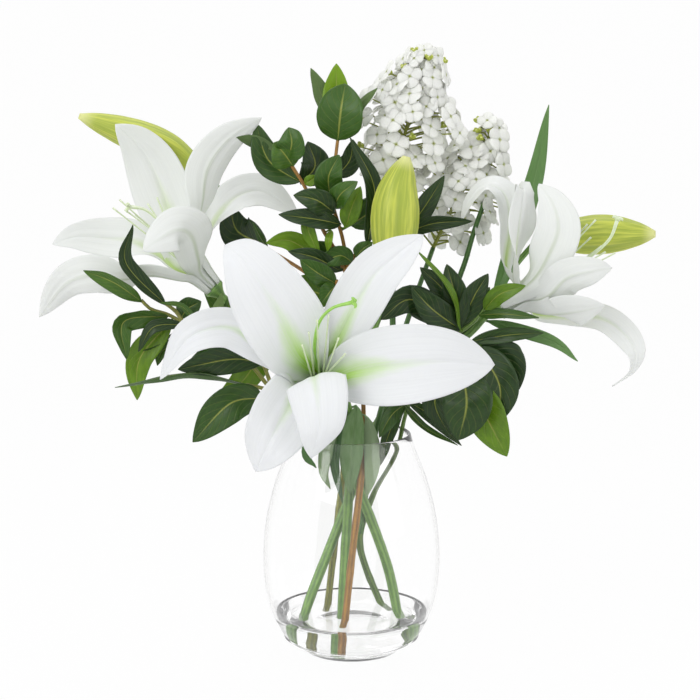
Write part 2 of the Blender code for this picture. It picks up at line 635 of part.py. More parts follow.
def build_lily(name, plan):
    """One cut lily, grown as one piece: stem, side stalks with their buds, leaves and the open flower."""
    bloom = blooms[plan["end"]]
    axis = unit(np.array(bloom["axis"], dtype=float))
    points = [vector(p) for p in plan["path"]]
    points[-1] = vector(bloom["base"]) - axis * 5 * mm
    points.insert(-1, points[-1] - axis * 8 * mm)
    path = smooth_path(points, len(points) + 5)
    share = np.linspace(0, 1, len(path))
    radii = lily_stem_radius + (pedicel_radius - lily_stem_radius) * np.clip(share * 1.6 - 0.5, 0, 1)
    parts = [tube("stem", path, radii, 8, axis)]
    paths = [path]
    for stalk, bud in plan["stalks"]:
        thing, heart = bud_solid(*buds[bud])
        parts.append(thing)
        along = unit(heart[1] - heart[0])
        ends = [vector(p) for p in stalk] + [heart[0] - along * 6 * mm, heart[0] + along * 2 * mm]
        ends[0] = nearest(ends[0], paths)
        side_path = smooth_path(ends, 8)
        parts.append(tube("stalk", side_path, np.full(8, 0.85 * pedicel_radius), 6, along))
        paths.append(side_path)
    for leaf in plan["leaves"]:
        parts.append(leaf_solid(leaf, paths))
    parts += bloom_parts(bloom)
    finish(fuse(name, parts), (0.90, 0.92, 0.86), 0.5)
    return path


def floret(centre, outward, size, spin):
    """Four blunt petals about a short throat."""
    a = unit(np.cross(outward, (0.36, 0.48, 0.8)))
    b = np.cross(outward, a)
    vertices = [centre + outward * 0.5 * mm, centre - outward * 1.6 * mm]
    for k in range(8):
        turn = spin + math.pi * k / 4
        r = size if k % 2 == 0 else 0.5 * size
        lift = 0.6 * mm if k % 2 == 0 else -0.2 * mm
        vertices.append(centre + (a * math.cos(turn) + b * math.sin(turn)) * r + outward * lift)
    faces = []
    for k in range(8):
        i, j = 2 + k, 2 + (k + 1) % 8
        faces += [(0, i, j), (1, j, i)]
    return make_object("floret", vertices, faces)


def build_lilac():
    paths, parts = [], []
    for i, stem in enumerate(lilac_stems):
        points = [vector(p) for p in stem]
        if i:
            points[0] = nearest(points[0], paths)
        path = smooth_path(points, len(points) + 2)
        parts.append(tube("stem", path, np.linspace(1.8 * mm, 1.3 * mm, len(path)), 5))
        paths.append(path)
    golden = math.pi * (3 - math.sqrt(5))
    for panicle in lilac_panicles:
        spine = smooth_path([vector(p) for p in panicle["axis"]], 7)
        parts.append(tube("axis", spine, np.linspace(1.4 * mm, 0.8 * mm, 7), 5))
        spread = np.interp(np.linspace(0, 1, 7), np.linspace(0, 1, len(panicle["radius"])), panicle["radius"]) * mm
        t = directions(spine)
        count = 15
        for n in range(count):
            where = (n + 0.5) / count * 6
            i = min(5, int(where))
            share = where - i
            centre = spine[i] * (1 - share) + spine[i + 1] * share
            reach = (spread[i] * (1 - share) + spread[i + 1] * share) * (0.92 if n % 2 else 0.72)
            a = unit(np.cross(t[i], (0.2, 1.0, 0.1)))
            b = np.cross(t[i], a)
            out = unit(math.cos(n * golden) * a + math.sin(n * golden) * b + 0.35 * t[i])
            end = centre + out * reach
            parts.append(tube("branchlet", np.array([centre, end - out * 0.6 * mm]), [0.8 * mm, 0.6 * mm], 3))
            parts.append(floret(end, out, floret_radius, n * 0.7))
    return finish(fuse("lilac_spray", parts), (0.92, 0.93, 0.86), 0.6)


def build():
    for thing in list(bpy.data.objects):
        bpy.data.objects.remove(thing)
    build_vase()
    feet = []
    for name, plan in lilies.items():
        feet.append((build_lily(name, plan), lily_stem_radius))
    for name, plan in greenery.items():
        _, paths = build_greenery(name, plan)
        feet.append((paths[0], 1.7 * twig_radius))
    build_lilac()
    holes = []
    for path, radius in feet:
        wet = path[path[:, 2] < water_level + 30 * mm]
        count = max(3, len(wet) + 1)
        line = path[:count].copy()
        line[0] = line[0] - unit(line[1] - line[0]) * (water_gap + 0.2 * mm)
        holes.append(tube("hole", line, np.full(len(line), radius + water_gap + 0.2 * mm), 8))
    build_water(holes)


build()
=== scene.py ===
import math

import bmesh
import bpy
import numpy as np
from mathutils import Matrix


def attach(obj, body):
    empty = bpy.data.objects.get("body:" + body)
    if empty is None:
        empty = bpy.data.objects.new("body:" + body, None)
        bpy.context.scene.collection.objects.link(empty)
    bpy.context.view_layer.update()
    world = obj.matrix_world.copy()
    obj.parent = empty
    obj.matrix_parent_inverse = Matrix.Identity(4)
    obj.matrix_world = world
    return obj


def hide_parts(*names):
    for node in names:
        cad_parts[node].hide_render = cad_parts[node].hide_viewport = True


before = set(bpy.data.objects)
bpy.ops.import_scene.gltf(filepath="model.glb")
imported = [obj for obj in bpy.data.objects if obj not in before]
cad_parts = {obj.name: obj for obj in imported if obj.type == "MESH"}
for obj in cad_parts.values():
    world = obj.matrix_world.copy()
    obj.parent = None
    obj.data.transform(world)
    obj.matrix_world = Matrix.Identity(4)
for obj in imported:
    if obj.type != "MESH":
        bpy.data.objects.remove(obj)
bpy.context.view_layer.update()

mm = 0.001
scene = bpy.context.scene


# ---- shape helpers: a shape is (vertices, faces, uv per face corner, mark per vertex) ----

def place(point):
    return np.array(point, dtype=float) * mm


def unit(v):
    return v / max(np.linalg.norm(v), 1e-12)


def unitRows(v):
    return v / np.maximum(np.linalg.norm(v, axis=1, keepdims=True), 1e-12)


def smoothPath(points, count):  # even steps along a Catmull-Rom curve
    p = np.array(points, dtype=float)
    ends = np.vstack([2 * p[0] - p[1], p, 2 * p[-1] - p[-2]])
    fine = []
    for i in range(len(p) - 1):
        a, b, c, d = ends[i:i + 4]
        for s in np.linspace(0, 1, 16, endpoint=False):
            fine.append(0.5 * (2 * b + (c - a) * s + (2 * a - 5 * b + 4 * c - d) * s * s
                               + (3 * b - a - 3 * c + d) * s ** 3))
    fine.append(p[-1])
    fine = np.array(fine)
    steps = np.concatenate([[0], np.cumsum(np.linalg.norm(np.diff(fine, axis=0), axis=1))])
    wanted = np.linspace(0, steps[-1], count)
    return np.column_stack([np.interp(wanted, steps, fine[:, k]) for k in range(3)])


def directions(path):
    return unitRows(np.gradient(path, axis=0))


def smoothStep(x, low, high):
    s = np.clip((x - low) / (high - low), 0, 1)
    return s * s * (3 - 2 * s)


def barShape(path, radii, sides, squash=None):
    t = directions(path)
    side = unit(np.cross(t[0], (0.31, 0.87, 0.22)))
    vertices = []
    n = len(path)
    radii = np.broadcast_to(np.array(radii, dtype=float), (n,))
    for i in range(n):
        side = unit(side - t[i] * np.dot(side, t[i]))
        other = np.cross(t[i], side)
        for k in range(sides):
            a = 2 * math.pi * k / sides
            r = radii[i] * (squash(a, i / (n - 1)) if squash else 1)
            vertices.append(path[i] + r * (math.cos(a) * side + math.sin(a) * other))
    faces, uvs = [], []
    for i in range(n - 1):
        for k in range(sides):
            j = (k + 1) % sides
            faces.append((i * sides + k, i * sides + j, (i + 1) * sides + j, (i + 1) * sides + k))
            a, b, c, d = k / sides, (k + 1) / sides, i / (n - 1), (i + 1) / (n - 1)
            uvs.append(((a, c), (b, c), (b, d), (a, d)))
    for row, share in ((0, 0.0), (n - 1, 1.0)):
        middle = len(vertices)
        vertices.append(path[row])
        for k in range(sides):
            faces.append((row * sides + k, row * sides + (k + 1) % sides, middle))
            uvs.append(((k / sides, share), ((k + 1) / sides, share), ((k + 0.5) / sides, share)))
    return np.array(vertices), faces, uvs, np.zeros(len(vertices))


foldWidth = 0.10  # share of the half width


def sheetShape(path, side, half, cupLeft, cupRight, thickness, across, form):
    t = directions(path)
    w = unitRows(side - t * np.sum(side * t, axis=1, keepdims=True))
    n = np.cross(w, t)
    rows = len(path)
    u = np.sign(np.linspace(-1, 1, across + 1)) * np.abs(np.linspace(-1, 1, across + 1)) ** 1.05
    v = np.linspace(0, 1, rows)
    cup = np.where(u[None, :] > 0, cupRight[:, None], cupLeft[:, None])
    cup = np.where(np.abs(cup) < 1e-3, 1e-3, cup)
    a = u[None, :] * cup
    reach = half[:, None] / cup
    sideways = np.abs(reach * np.sin(np.abs(a))) * np.sign(u)[None, :]
    lift = reach * (1 - np.cos(a))
    spot = path[:, None, :] + w[:, None, :] * sideways[..., None] + n[:, None, :] * lift[..., None]
    out = n[:, None, :] * np.cos(a)[..., None] - w[:, None, :] * np.sin(a)[..., None]
    swell = np.sin(np.pi * v)[:, None]
    phase = form.get("phase", 0.0)
    edge = np.abs(u)[None, :] ** 2.2
    push = form.get("ripple", 0) * edge * swell * np.sin(
        2 * np.pi * form.get("waves", 2.5) * v[:, None] + phase + 1.7 * np.sign(u)[None, :])
    push = push + form.get("bulge", 0) * swell * np.sin(np.pi * u[None, :] + phase) * np.cos(
        2 * np.pi * v[:, None] * 0.8 + phase)
    fade = (1 - smoothStep(v, 0.75, 1.0))[:, None]
    push = push - form.get("crease", 0) * np.exp(-(u[None, :] / form.get("creaseWidth", 0.09)) ** 2) * fade
    for line, depth in form.get("folds", []):
        push = push - depth * np.exp(-((u[None, :] - line) / foldWidth) ** 2) * fade
    spot = spot + out * push[..., None]
    thick = thickness * (0.30 + 0.70 * np.sqrt(np.clip(1 - u[None, :] ** 2, 0, 1)))
    thick = np.broadcast_to(thick, (rows, across + 1))
    upper = spot + out * thick[..., None] / 2
    lower = spot - out * thick[..., None] / 2
    vertices = np.vstack([upper.reshape(-1, 3), lower.reshape(-1, 3)])
    row = across + 1
    count = rows * row
    faces, uvs = [], []
    at = (u + 1) / 2
    for i in range(rows - 1):
        for k in range(across):
            p, q, r, s = i * row + k, i * row + k + 1, (i + 1) * row + k + 1, (i + 1) * row + k
            corners = ((at[k], v[i]), (at[k + 1], v[i]), (at[k + 1], v[i + 1]), (at[k], v[i + 1]))
            faces.append((p, q, r, s))
            uvs.append(corners)
            faces.append((count + s, count + r, count + q, count + p))
            uvs.append(corners[::-1])
        for k in (0, across):
            p, s = i * row + k, (i + 1) * row + k
            faces.append((p, s, count + s, count + p))
            uvs.append(((at[k], v[i]), (at[k], v[i + 1]), (at[k], v[i + 1]), (at[k], v[i])))
    for i in (0, rows - 1):
        for k in range(across):
            p, q = i * row + k, i * row + k + 1
            faces.append((p, q, count + q, count + p))
            uvs.append(((at[k], v[i]), (at[k + 1], v[i]), (at[k + 1], v[i]), (at[k], v[i])))
    under = np.concatenate([np.zeros(count), np.ones(count)])
    return vertices, faces, uvs, under


def turnedShape(profile, segments):  # a closed (radius, height) loop turned about the upright axis
    vertices, rings = [], []
    for r, z in profile:
        if r < 1e-9:
            rings.append([len(vertices)] * segments)
            vertices.append((0, 0, z))
            continue
        rings.append(list(range(len(vertices), len(vertices) + segments)))
        for k in range(segments):
            a = 2 * math.pi * k / segments
            vertices.append((r * math.cos(a), r * math.sin(a), z))
    faces, uvs = [], []
    for i, (lower, upper) in enumerate(zip(rings, rings[1:])):
        for k in range(segments):
            j = (k + 1) % segments
            loop = []
            for v in (lower[k], lower[j], upper[j], upper[k]):
                if v not in loop:
                    loop.append(v)
            if len(loop) > 2:
                faces.append(tuple(loop))
                uvs.append(tuple((k / segments, i / len(rings)) for _ in loop))
    return np.array(vertices), faces, uvs, np.zeros(len(vertices))


def addPiece(name, shapes, material, node, tints=None):
    vertices, faces, uvs, marks, shades = [], [], [], [], []
    start = 0
    for i, (v, f, uv, mark) in enumerate(shapes):
        vertices.append(v)
        faces += [tuple(start + k for k in face) for face in f]
        uvs += list(uv)
        marks.append(mark)
        shades.append(np.full(len(v), tints[i] if tints is not None else 0.0))
        start += len(v)
    vertices = np.vstack(vertices)
    mesh = bpy.data.meshes.new(name)
    mesh.from_pydata(vertices.tolist(), [], faces)
    layer = mesh.uv_layers.new(name="blade")
    layer.data.foreach_set("uv", np.array([c for uv in uvs for corner in uv for c in corner],
                                          dtype=np.float32))
    for label, values in (("under", marks), ("shade", shades)):
        attribute = mesh.attributes.new(label, "FLOAT", "POINT")
        attribute.data.foreach_set("value", np.concatenate(values).astype(np.float32))
    work = bmesh.new()
    work.from_mesh(mesh)
    bmesh.ops.recalc_face_normals(work, faces=work.faces)
    work.to_mesh(mesh)
    work.free()
    mesh.shade_smooth()
    mesh.materials.append(material)
    piece = bpy.data.objects.new(name, mesh)
    scene.collection.objects.link(piece)
    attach(piece, "root")
    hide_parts(node)


# ---- node helpers and shared effects ----

class NodeSheet:  # short names for adding and joining nodes in one tree
    def __init__(self, tree):
        self.tree = tree

    def add(self, kind, settings=None, **inputs):
        node = self.tree.nodes.new(kind)
        for key, value in (settings or {}).items():
            setattr(node, key, value)
        for key, value in inputs.items():
            self.feed(node, key, value)
        return node

    def feed(self, node, key, value):
        socket = node.inputs[int(key[1:])] if key[0] == "_" else node.inputs[key.replace("_", " ")]
        if isinstance(value, bpy.types.NodeSocket):
            self.tree.links.new(value, socket)
        else:
            socket.default_value = value

    def math(self, operation, a, b=0.0, c=0.0, clamp=False):
        return self.add("ShaderNodeMath", {"operation": operation, "use_clamp": clamp}, _0=a, _1=b,
                        _2=c).outputs[0]

    def ramp(self, value, low, high, start=0.0, end=1.0):
        return self.add("ShaderNodeMapRange", {"interpolation_type": "SMOOTHSTEP"},
                        _0=value, _1=low, _2=high, _3=start, _4=end).outputs[0]

    def mix(self, factor, a, b, blend="MIX"):
        node = self.tree.nodes.new("ShaderNodeMix")
        node.data_type = "RGBA"
        node.blend_type = blend
        for socket, value in ((0, factor), (6, a), (7, b)):
            if isinstance(value, bpy.types.NodeSocket):
                self.tree.links.new(value, node.inputs[socket])
            else:
                node.inputs[socket].default_value = value
        return node.outputs[2]

    def attribute(self, name):
        node = self.tree.nodes.new("ShaderNodeAttribute")
        node.attribute_name = name
        return node.outputs["Fac"]

    def uv(self):
        node = self.tree.nodes.new("ShaderNodeUVMap")
        node.uv_map = "blade"
        return node.outputs[0]


def newGroup(name, ins, outs):
    group = bpy.data.node_groups.new(name, "ShaderNodeTree")
    for label, kind, value in ins:
        socket = group.interface.new_socket(name=label, in_out="INPUT", socket_type=kind)
        if value is not None:
            socket.default_value = value
    for label, kind in outs:
        group.interface.new_socket(name=label, in_out="OUTPUT", socket_type=kind)
    sheet = NodeSheet(group)
    return group, sheet, sheet.add("NodeGroupInput").outputs, sheet.add("NodeGroupOutput")


def newMaterial(name):
    material = bpy.data.materials.new(name)
    material.use_nodes = True
    sheet = NodeSheet(material.node_tree)
    return material, sheet, material.node_tree.nodes["Principled BSDF"]


floatKind, colourKind, vectorKind = "NodeSocketFloat", "NodeSocketColor", "NodeSocketVector"


def makePetalGroup():  # a white blade, green at its throat and along its midrib, with fine lengthwise veins
    group, s, ins, outs = newGroup(
        "petalColour",
        [("Blade", vectorKind, None), ("Under", floatKind, 0.0), ("White", colourKind, (0.9, 0.9, 0.9, 1)),
         ("Throat", colourKind, (0.6, 0.75, 0.2, 1)), ("Back", colourKind, (0.6, 0.65, 0.5, 1)),
         ("Throat End", floatKind, 0.5), ("Midrib", floatKind, 0.4), ("Back Tint", floatKind, 0.3)],
        [("Colour", colourKind), ("Height", floatKind), ("Roughness", floatKind)])
    parts = s.add("ShaderNodeSeparateXYZ", _0=ins["Blade"]).outputs
    u = s.math("ABSOLUTE", s.math("MULTIPLY_ADD", parts[0], 2.0, -1.0))
    v = parts[1]
    stretched = s.add("ShaderNodeCombineXYZ", _0=s.math("MULTIPLY", parts[0], 46.0),
                      _1=s.math("MULTIPLY", v, 2.2)).outputs[0]
    veins = s.add("ShaderNodeTexNoise", _0=stretched, Scale=1.0, Detail=2.0, Roughness=0.55)
    cloud = s.add("ShaderNodeTexNoise", _0=ins["Blade"], Scale=5.0, Detail=3.0)
    wander = s.math("MULTIPLY_ADD", cloud.outputs[0], 0.25, -0.125)
    along = s.math("ADD", v, wander)
    lengthFade = s.ramp(along, 0.10, ins["Throat End"], 1.0, 0.0)
    width = s.math("MULTIPLY_ADD", lengthFade, 0.80, 0.10)
    acrossFade = s.ramp(s.math("DIVIDE", u, width), 0.0, 1.0, 1.0, 0.0)
    throat = s.math("MULTIPLY", lengthFade, acrossFade)
    throat = s.math("MULTIPLY", throat, s.math("MULTIPLY_ADD", veins.outputs[0], 1.2, 0.5), clamp=True)
    rib = s.math("MULTIPLY", s.ramp(u, 0.0, 0.055, 1.0, 0.0), s.ramp(v, 0.35, 0.85, 1.0, 0.0))
    tint = s.math("MAXIMUM", throat, s.math("MULTIPLY", rib, ins["Midrib"]))
    upper = s.mix(tint, ins["White"], ins["Throat"])
    backRib = s.math("MULTIPLY", s.ramp(u, 0.0, 0.16, 1.0, 0.15), s.ramp(v, 0.2, 1.0, 1.0, 0.1))
    lower = s.mix(s.math("MULTIPLY", backRib, ins["Back Tint"]), ins["White"], ins["Back"])
    face = s.mix(ins["Under"], upper, lower)
    streak = s.math("MULTIPLY_ADD", veins.outputs[0], 0.10, 0.93)
    grey = s.add("ShaderNodeCombineColor", _0=streak, _1=streak, _2=streak).outputs[0]
    s.feed(outs, "Colour", s.mix(1.0, face, grey, "MULTIPLY"))
    ribHeight = s.math("MULTIPLY", s.ramp(u, 0.0, 0.07, 0.0, 1.0), 0.8)
    s.feed(outs, "Height", s.math("MULTIPLY_ADD", veins.outputs[0], 0.55, ribHeight))
    s.feed(outs, "Roughness", s.math("MULTIPLY_ADD", cloud.outputs[0], 0.15, 0.50))
    return group


# a leaf: light midrib, slanting side veins, paler underside; Shade runs from darkest to brightest, partly
# each leaf's own tone and partly painted sheen and shade
def makeLeafGroup():
    group, s, ins, outs = newGroup(
        "leafColour",
        [("Blade", vectorKind, None), ("Under", floatKind, 0.0), ("Shade", floatKind, 0.3),
         ("Old", colourKind, (0.02, 0.06, 0.01, 1)), ("Middle", colourKind, (0.05, 0.13, 0.02, 1)),
         ("Young", colourKind, (0.15, 0.3, 0.02, 1)), ("Rib", colourKind, (0.4, 0.4, 0.1, 1)),
         ("Under Colour", colourKind, (0.15, 0.22, 0.1, 1)), ("Vein Count", floatKind, 9.0),
         ("Rib Width", floatKind, 0.06)],
        [("Colour", colourKind), ("Height", floatKind), ("Roughness", floatKind)])
    parts = s.add("ShaderNodeSeparateXYZ", _0=ins["Blade"]).outputs
    u = s.math("ABSOLUTE", s.math("MULTIPLY_ADD", parts[0], 2.0, -1.0))
    v = parts[1]
    blotch = s.add("ShaderNodeTexNoise", _0=ins["Blade"], Scale=7.0, Detail=4.0, Roughness=0.6)
    fine = s.add("ShaderNodeTexNoise", _0=ins["Blade"], Scale=60.0, Detail=2.0)
    shade = s.math("ADD", ins["Shade"], s.math("MULTIPLY_ADD", blotch.outputs[0], 0.36, -0.18), clamp=True)
    # painted light: the per-leaf shade lightens leaves for their sheen and darkens leaves in shade, besides
    # their own tone
    low = s.mix(s.ramp(shade, 0.0, 0.5), ins["Old"], ins["Middle"])
    body = s.mix(s.ramp(shade, 0.45, 1.0), low, ins["Young"])
    slant = s.math("MULTIPLY_ADD", u, -0.32, v)
    wave = s.math("SINE", s.math("MULTIPLY", slant, s.math("MULTIPLY", ins["Vein Count"], 6.2832)))
    sideVein = s.ramp(wave, 0.80, 1.0)
    sideVein = s.math("MULTIPLY", sideVein, s.ramp(u, 0.75, 1.0, 1.0, 0.0))
    rib = s.math("MULTIPLY", s.ramp(u, 0.0, ins["Rib Width"], 1.0, 0.0), s.ramp(v, 0.55, 1.0, 1.0, 0.2))
    veined = s.mix(s.math("MULTIPLY", sideVein, 0.09), body, ins["Rib"])
    veined = s.mix(s.math("MULTIPLY", rib, 0.85), veined, ins["Rib"])
    under = s.mix(0.72, veined, ins["Under Colour"])
    s.feed(outs, "Colour", s.mix(ins["Under"], veined, under))
    height = s.math("MULTIPLY_ADD", sideVein, -0.5, s.math("MULTIPLY", rib, -0.9))
    s.feed(outs, "Height", s.math("MULTIPLY_ADD", fine.outputs[0], 0.12, height))
    rough = s.math("MULTIPLY_ADD", blotch.outputs[0], 0.18, 0.24)
    s.feed(outs, "Roughness", s.math("MULTIPLY_ADD", ins["Under"], 0.25, rough))
    return group


def makeStalkGroup():  # a stalk: lengthwise ridges and faint mottling
    group, s, ins, outs = newGroup(
        "stalkColour",
        [("Blade", vectorKind, None), ("Light", colourKind, (0.2, 0.4, 0.08, 1)),
         ("Dark", colourKind, (0.1, 0.2, 0.04, 1)),
         ("Ridges", floatKind, 9.0)],
        [("Colour", colourKind), ("Height", floatKind)])
    parts = s.add("ShaderNodeSeparateXYZ", _0=ins["Blade"]).outputs
    ridge = s.math("SINE", s.math("MULTIPLY", parts[0], s.math("MULTIPLY", ins["Ridges"], 6.2832)))
    ringed = s.add("ShaderNodeCombineXYZ", _0=s.math("SINE", s.math("MULTIPLY", parts[0], 6.2832)),
                   _1=s.math("MULTIPLY", parts[1], 9.0)).outputs[0]
    mottle = s.add("ShaderNodeTexNoise", _0=ringed, Scale=2.2, Detail=5.0, Roughness=0.65)
    blend = s.math("MULTIPLY_ADD", ridge, 0.14, mottle.outputs[0])
    s.feed(outs, "Colour", s.mix(s.ramp(blend, 0.30, 0.72), ins["Dark"], ins["Light"]))
    s.feed(outs, "Height", s.math("MULTIPLY_ADD", ridge, 0.4, mottle.outputs[0]))
    return group


def placeGroup(s, group, shader, bumpStrength, bumpDistance, rough=True, **inputs):
    node = s.add("ShaderNodeGroup", {"node_tree": group}, Blade=s.uv(), **inputs)
    s.feed(shader, "Base_Color", node.outputs["Colour"])
    if rough:
        s.feed(shader, "Roughness", node.outputs["Roughness"])
    bump = s.add("ShaderNodeBump", Strength=bumpStrength, Distance=bumpDistance,
                 Height=node.outputs["Height"])
    s.feed(shader, "Normal", bump.outputs[0])
    return node


print("scene: helpers ready")
petalGroup = makePetalGroup()
leafGroup = makeLeafGroup()
stalkGroup = makeStalkGroup()

petalLooks = {
    "frontPetal": {"white": (0.81, 0.825, 0.84, 1), "throat": (0.42, 0.72, 0.10, 1),
                   "back": (0.55, 0.62, 0.40, 1),
                   "end": 0.74, "midrib": 0.26, "backTint": 0.45},
    # the side blooms' copy has a greyer, darker back and throat: partly their own green veins, partly
    # painted shade on their outer faces
    "sidePetalShaded": {"white": (0.80, 0.82, 0.80, 1), "throat": (0.50, 0.66, 0.24, 1),
                  "back": (0.46, 0.53, 0.38, 1),
                  "end": 0.74, "midrib": 0.34, "backTint": 0.80},
}


def petalMaterial(name, look):
    material, s, shader = newMaterial(name)
    placeGroup(s, petalGroup, shader, 0.35, 0.0006, Under=s.attribute("under"), White=look["white"],
               Throat=look["throat"], Back=look["back"], Throat_End=look["end"], Midrib=look["midrib"],
               Back_Tint=look["backTint"])
    shader.inputs["Subsurface Weight"].default_value = 0.25
    shader.inputs["Subsurface Radius"].default_value = (1.0, 1.0, 0.85)
    shader.inputs["Subsurface Scale"].default_value = 0.003
    shader.inputs["Specular IOR Level"].default_value = 0.25
    return material


petalMaterials = {name: petalMaterial(name, look) for name, look in petalLooks.items()}

leafLook = {"old": (0.012, 0.032, 0.008, 1), "middle": (0.040, 0.105, 0.010, 1),
            "young": (0.17, 0.31, 0.008, 1),
            "rib": (0.33, 0.36, 0.07, 1), "under": (0.11, 0.17, 0.06, 1), "veins": 8.0, "ribWidth": 0.07}


def leafMaterial(name, look):
    material, s, shader = newMaterial(name)
    placeGroup(s, leafGroup, shader, 0.45, 0.0008, Under=s.attribute("under"), Shade=s.attribute("shade"),
               Old=look["old"], Middle=look["middle"], Young=look["young"], Rib=look["rib"],
               Under_Colour=look["under"], Vein_Count=look["veins"], Rib_Width=look["ribWidth"])
    shader.inputs["Specular IOR Level"].default_value = 0.3
    shader.inputs["Coat Weight"].default_value = 0.06
    shader.inputs["Coat Roughness"].default_value = 0.3
    return material


glossyLeaf = leafMaterial("glossyLeaf", leafLook)

lilyLeafLook = {"old": (0.04, 0.10, 0.03, 1), "middle": (0.12, 0.24, 0.07, 1),
                "young": (0.32, 0.42, 0.24, 1),
                "rib": (0.22, 0.34, 0.14, 1), "under": (0.26, 0.36, 0.20, 1), "veins": 0.0,
                "ribWidth": 0.05}
lilyLeaf = leafMaterial("lilyLeaf", lilyLeafLook)

stalkLooks = {
    "lilyStem": {"light": (0.20, 0.36, 0.08, 1), "dark": (0.09, 0.19, 0.04, 1), "ridges": 7.0},
    "orangeTwig": {"light": (0.40, 0.20, 0.035, 1), "dark": (0.20, 0.10, 0.02, 1), "ridges": 5.0},
    "oliveTwig": {"light": (0.30, 0.30, 0.06, 1), "dark": (0.16, 0.17, 0.04, 1), "ridges": 6.0},
    "greenTwig": {"light": (0.16, 0.26, 0.05, 1), "dark": (0.07, 0.13, 0.03, 1), "ridges": 6.0},
    "lilacStem": {"light": (0.09, 0.20, 0.045, 1), "dark": (0.04, 0.11, 0.025, 1), "ridges": 6.0},
    "lilacTwig": {"light": (0.40, 0.44, 0.07, 1), "dark": (0.24, 0.27, 0.05, 1), "ridges": 4.0},
    "throatGreen": {"light": (0.40, 0.70, 0.14, 1), "dark": (0.28, 0.56, 0.09, 1), "ridges": 5.0},
    "paleFilament": {"light": (0.80, 0.86, 0.68, 1), "dark": (0.62, 0.74, 0.42, 1), "ridges": 3.0},
}


def stalkMaterial(name, look):
    material, s, shader = newMaterial(name)
    placeGroup(s, stalkGroup, shader, 0.4, 0.0005, rough=False, Light=look["light"], Dark=look["dark"],
               Ridges=look["ridges"])
    shader.inputs["Roughness"].default_value = 0.45
    return material


stalks = {name: stalkMaterial(name, look) for name, look in stalkLooks.items()}
print("scene: materials ready")

# ---- vase and the clear set water ----

vase = {"height": 151, "radius": 60, "mouth": 40, "wall": 2.0, "floor": 6.0, "water": 28, "segments": 128,
        "overlap": 0.15}  # how far the water reaches into the glass, so that no air shows between them
vaseProfile = [
    (0.000, 0.46), (0.020, 0.58), (0.066, 0.74), (0.146, 0.868), (0.240, 0.950), (0.330, 0.988),
    (0.424, 1.000), (0.520, 0.990), (0.610, 0.963), (0.700, 0.915), (0.790, 0.850), (0.880, 0.765),
    (0.950, 0.700), (0.990, 0.672),
]


clearLook = {"colour": (1, 1, 1, 1), "shadow": (0.97, 0.98, 0.98, 1), "glassIndex": 1.45,
             "waterIndex": 1.33}


def clearMaterial(name, index):  # clear glass that lets the lamps through
    material, s, shader = newMaterial(name)
    shader.inputs["Base Color"].default_value = clearLook["colour"]
    shader.inputs["Roughness"].default_value = 0.0
    shader.inputs["IOR"].default_value = index
    shader.inputs["Transmission Weight"].default_value = 1.0
    path = s.add("ShaderNodeLightPath").outputs["Is Shadow Ray"]
    through = s.add("ShaderNodeBsdfTransparent", _0=clearLook["shadow"])
    out = s.tree.nodes["Material Output"]
    mixed = s.add("ShaderNodeMixShader", _0=path, _1=shader.outputs[0], _2=through.outputs[0])
    s.tree.links.new(mixed.outputs[0], out.inputs["Surface"])
    return material


def outerCurve(count):  # the outside of the vase as even steps up a smooth curve
    points = [(r * vase["radius"], z * vase["height"], 0) for z, r in vaseProfile]
    return smoothPath(np.array(points[1:]) * mm, count)[:, :2]


def makeVase():
    side = outerCurve(60)
    foot = [(0.0, 1.6 * mm), (14 * mm, 1.3 * mm), (22 * mm, 0.5 * mm), (26 * mm, 0.0), (29.5 * mm, 0.0),
            (32.5 * mm, 1.1 * mm)]
    outside = foot + [tuple(p) for p in side]
    top = vase["height"] * mm
    mouth = vase["mouth"] * mm
    lip = [(mouth + 0.1 * mm, top - 0.9 * mm), (mouth - 0.1 * mm, top - 0.35 * mm), (mouth - 0.6 * mm, top),
           (mouth - 1.2 * mm, top), (mouth - 1.7 * mm, top - 0.4 * mm), (mouth - 1.9 * mm, top - 1.1 * mm)]
    wall = vase["wall"] * mm
    inside = [(r - wall, z) for r, z in side[::-1] if (vase["floor"] + 7) * mm < z < 0.97 * top]
    floor = vase["floor"] * mm
    inside += [(46.0 * mm, floor + 4.6 * mm), (42.0 * mm, floor + 1.9 * mm), (36.0 * mm, floor + 0.5 * mm),
               (24.0 * mm, floor), (0.0, floor)]
    clear = clearMaterial("clearGlass", clearLook["glassIndex"])
    addPiece("clearVase", [turnedShape(outside + lip + inside, vase["segments"])], clear, "vase")


def makeWater():
    gap = -vase["overlap"] * mm
    wall = vase["wall"] * mm
    floor = vase["floor"] * mm
    level = vase["water"] * mm
    loop = [(0.0, floor + gap), (24.0 * mm, floor + gap), (36.0 * mm - gap, floor + 0.5 * mm + gap),
            (42.0 * mm - gap, floor + 1.9 * mm + gap), (46.0 * mm - gap, floor + 4.6 * mm + gap)]
    loop += [(r - wall - gap, z) for r, z in outerCurve(60) if floor + 7 * mm < z < level - 1.0 * mm]
    edge = loop[-1][0]
    loop += [(edge + 0.2 * mm, level), (edge - 0.5 * mm, level - 0.3 * mm),
             (edge - 1.6 * mm, level - 0.6 * mm),
             (edge - 3.4 * mm, level - 0.7 * mm), (0.0, level - 0.7 * mm)]
    clear = clearMaterial("clearWater", clearLook["waterIndex"])
    addPiece("setWater", [turnedShape(loop, vase["segments"])], clear, "water")


makeVase()
makeWater()
print("scene: vase and water made")


# ---- lily blooms: face says how far the outer half of each tepal opens to the front; each tepal is ----
# ---- (place round the axis, layer, half width, cup, turn of the right edge, points) ----

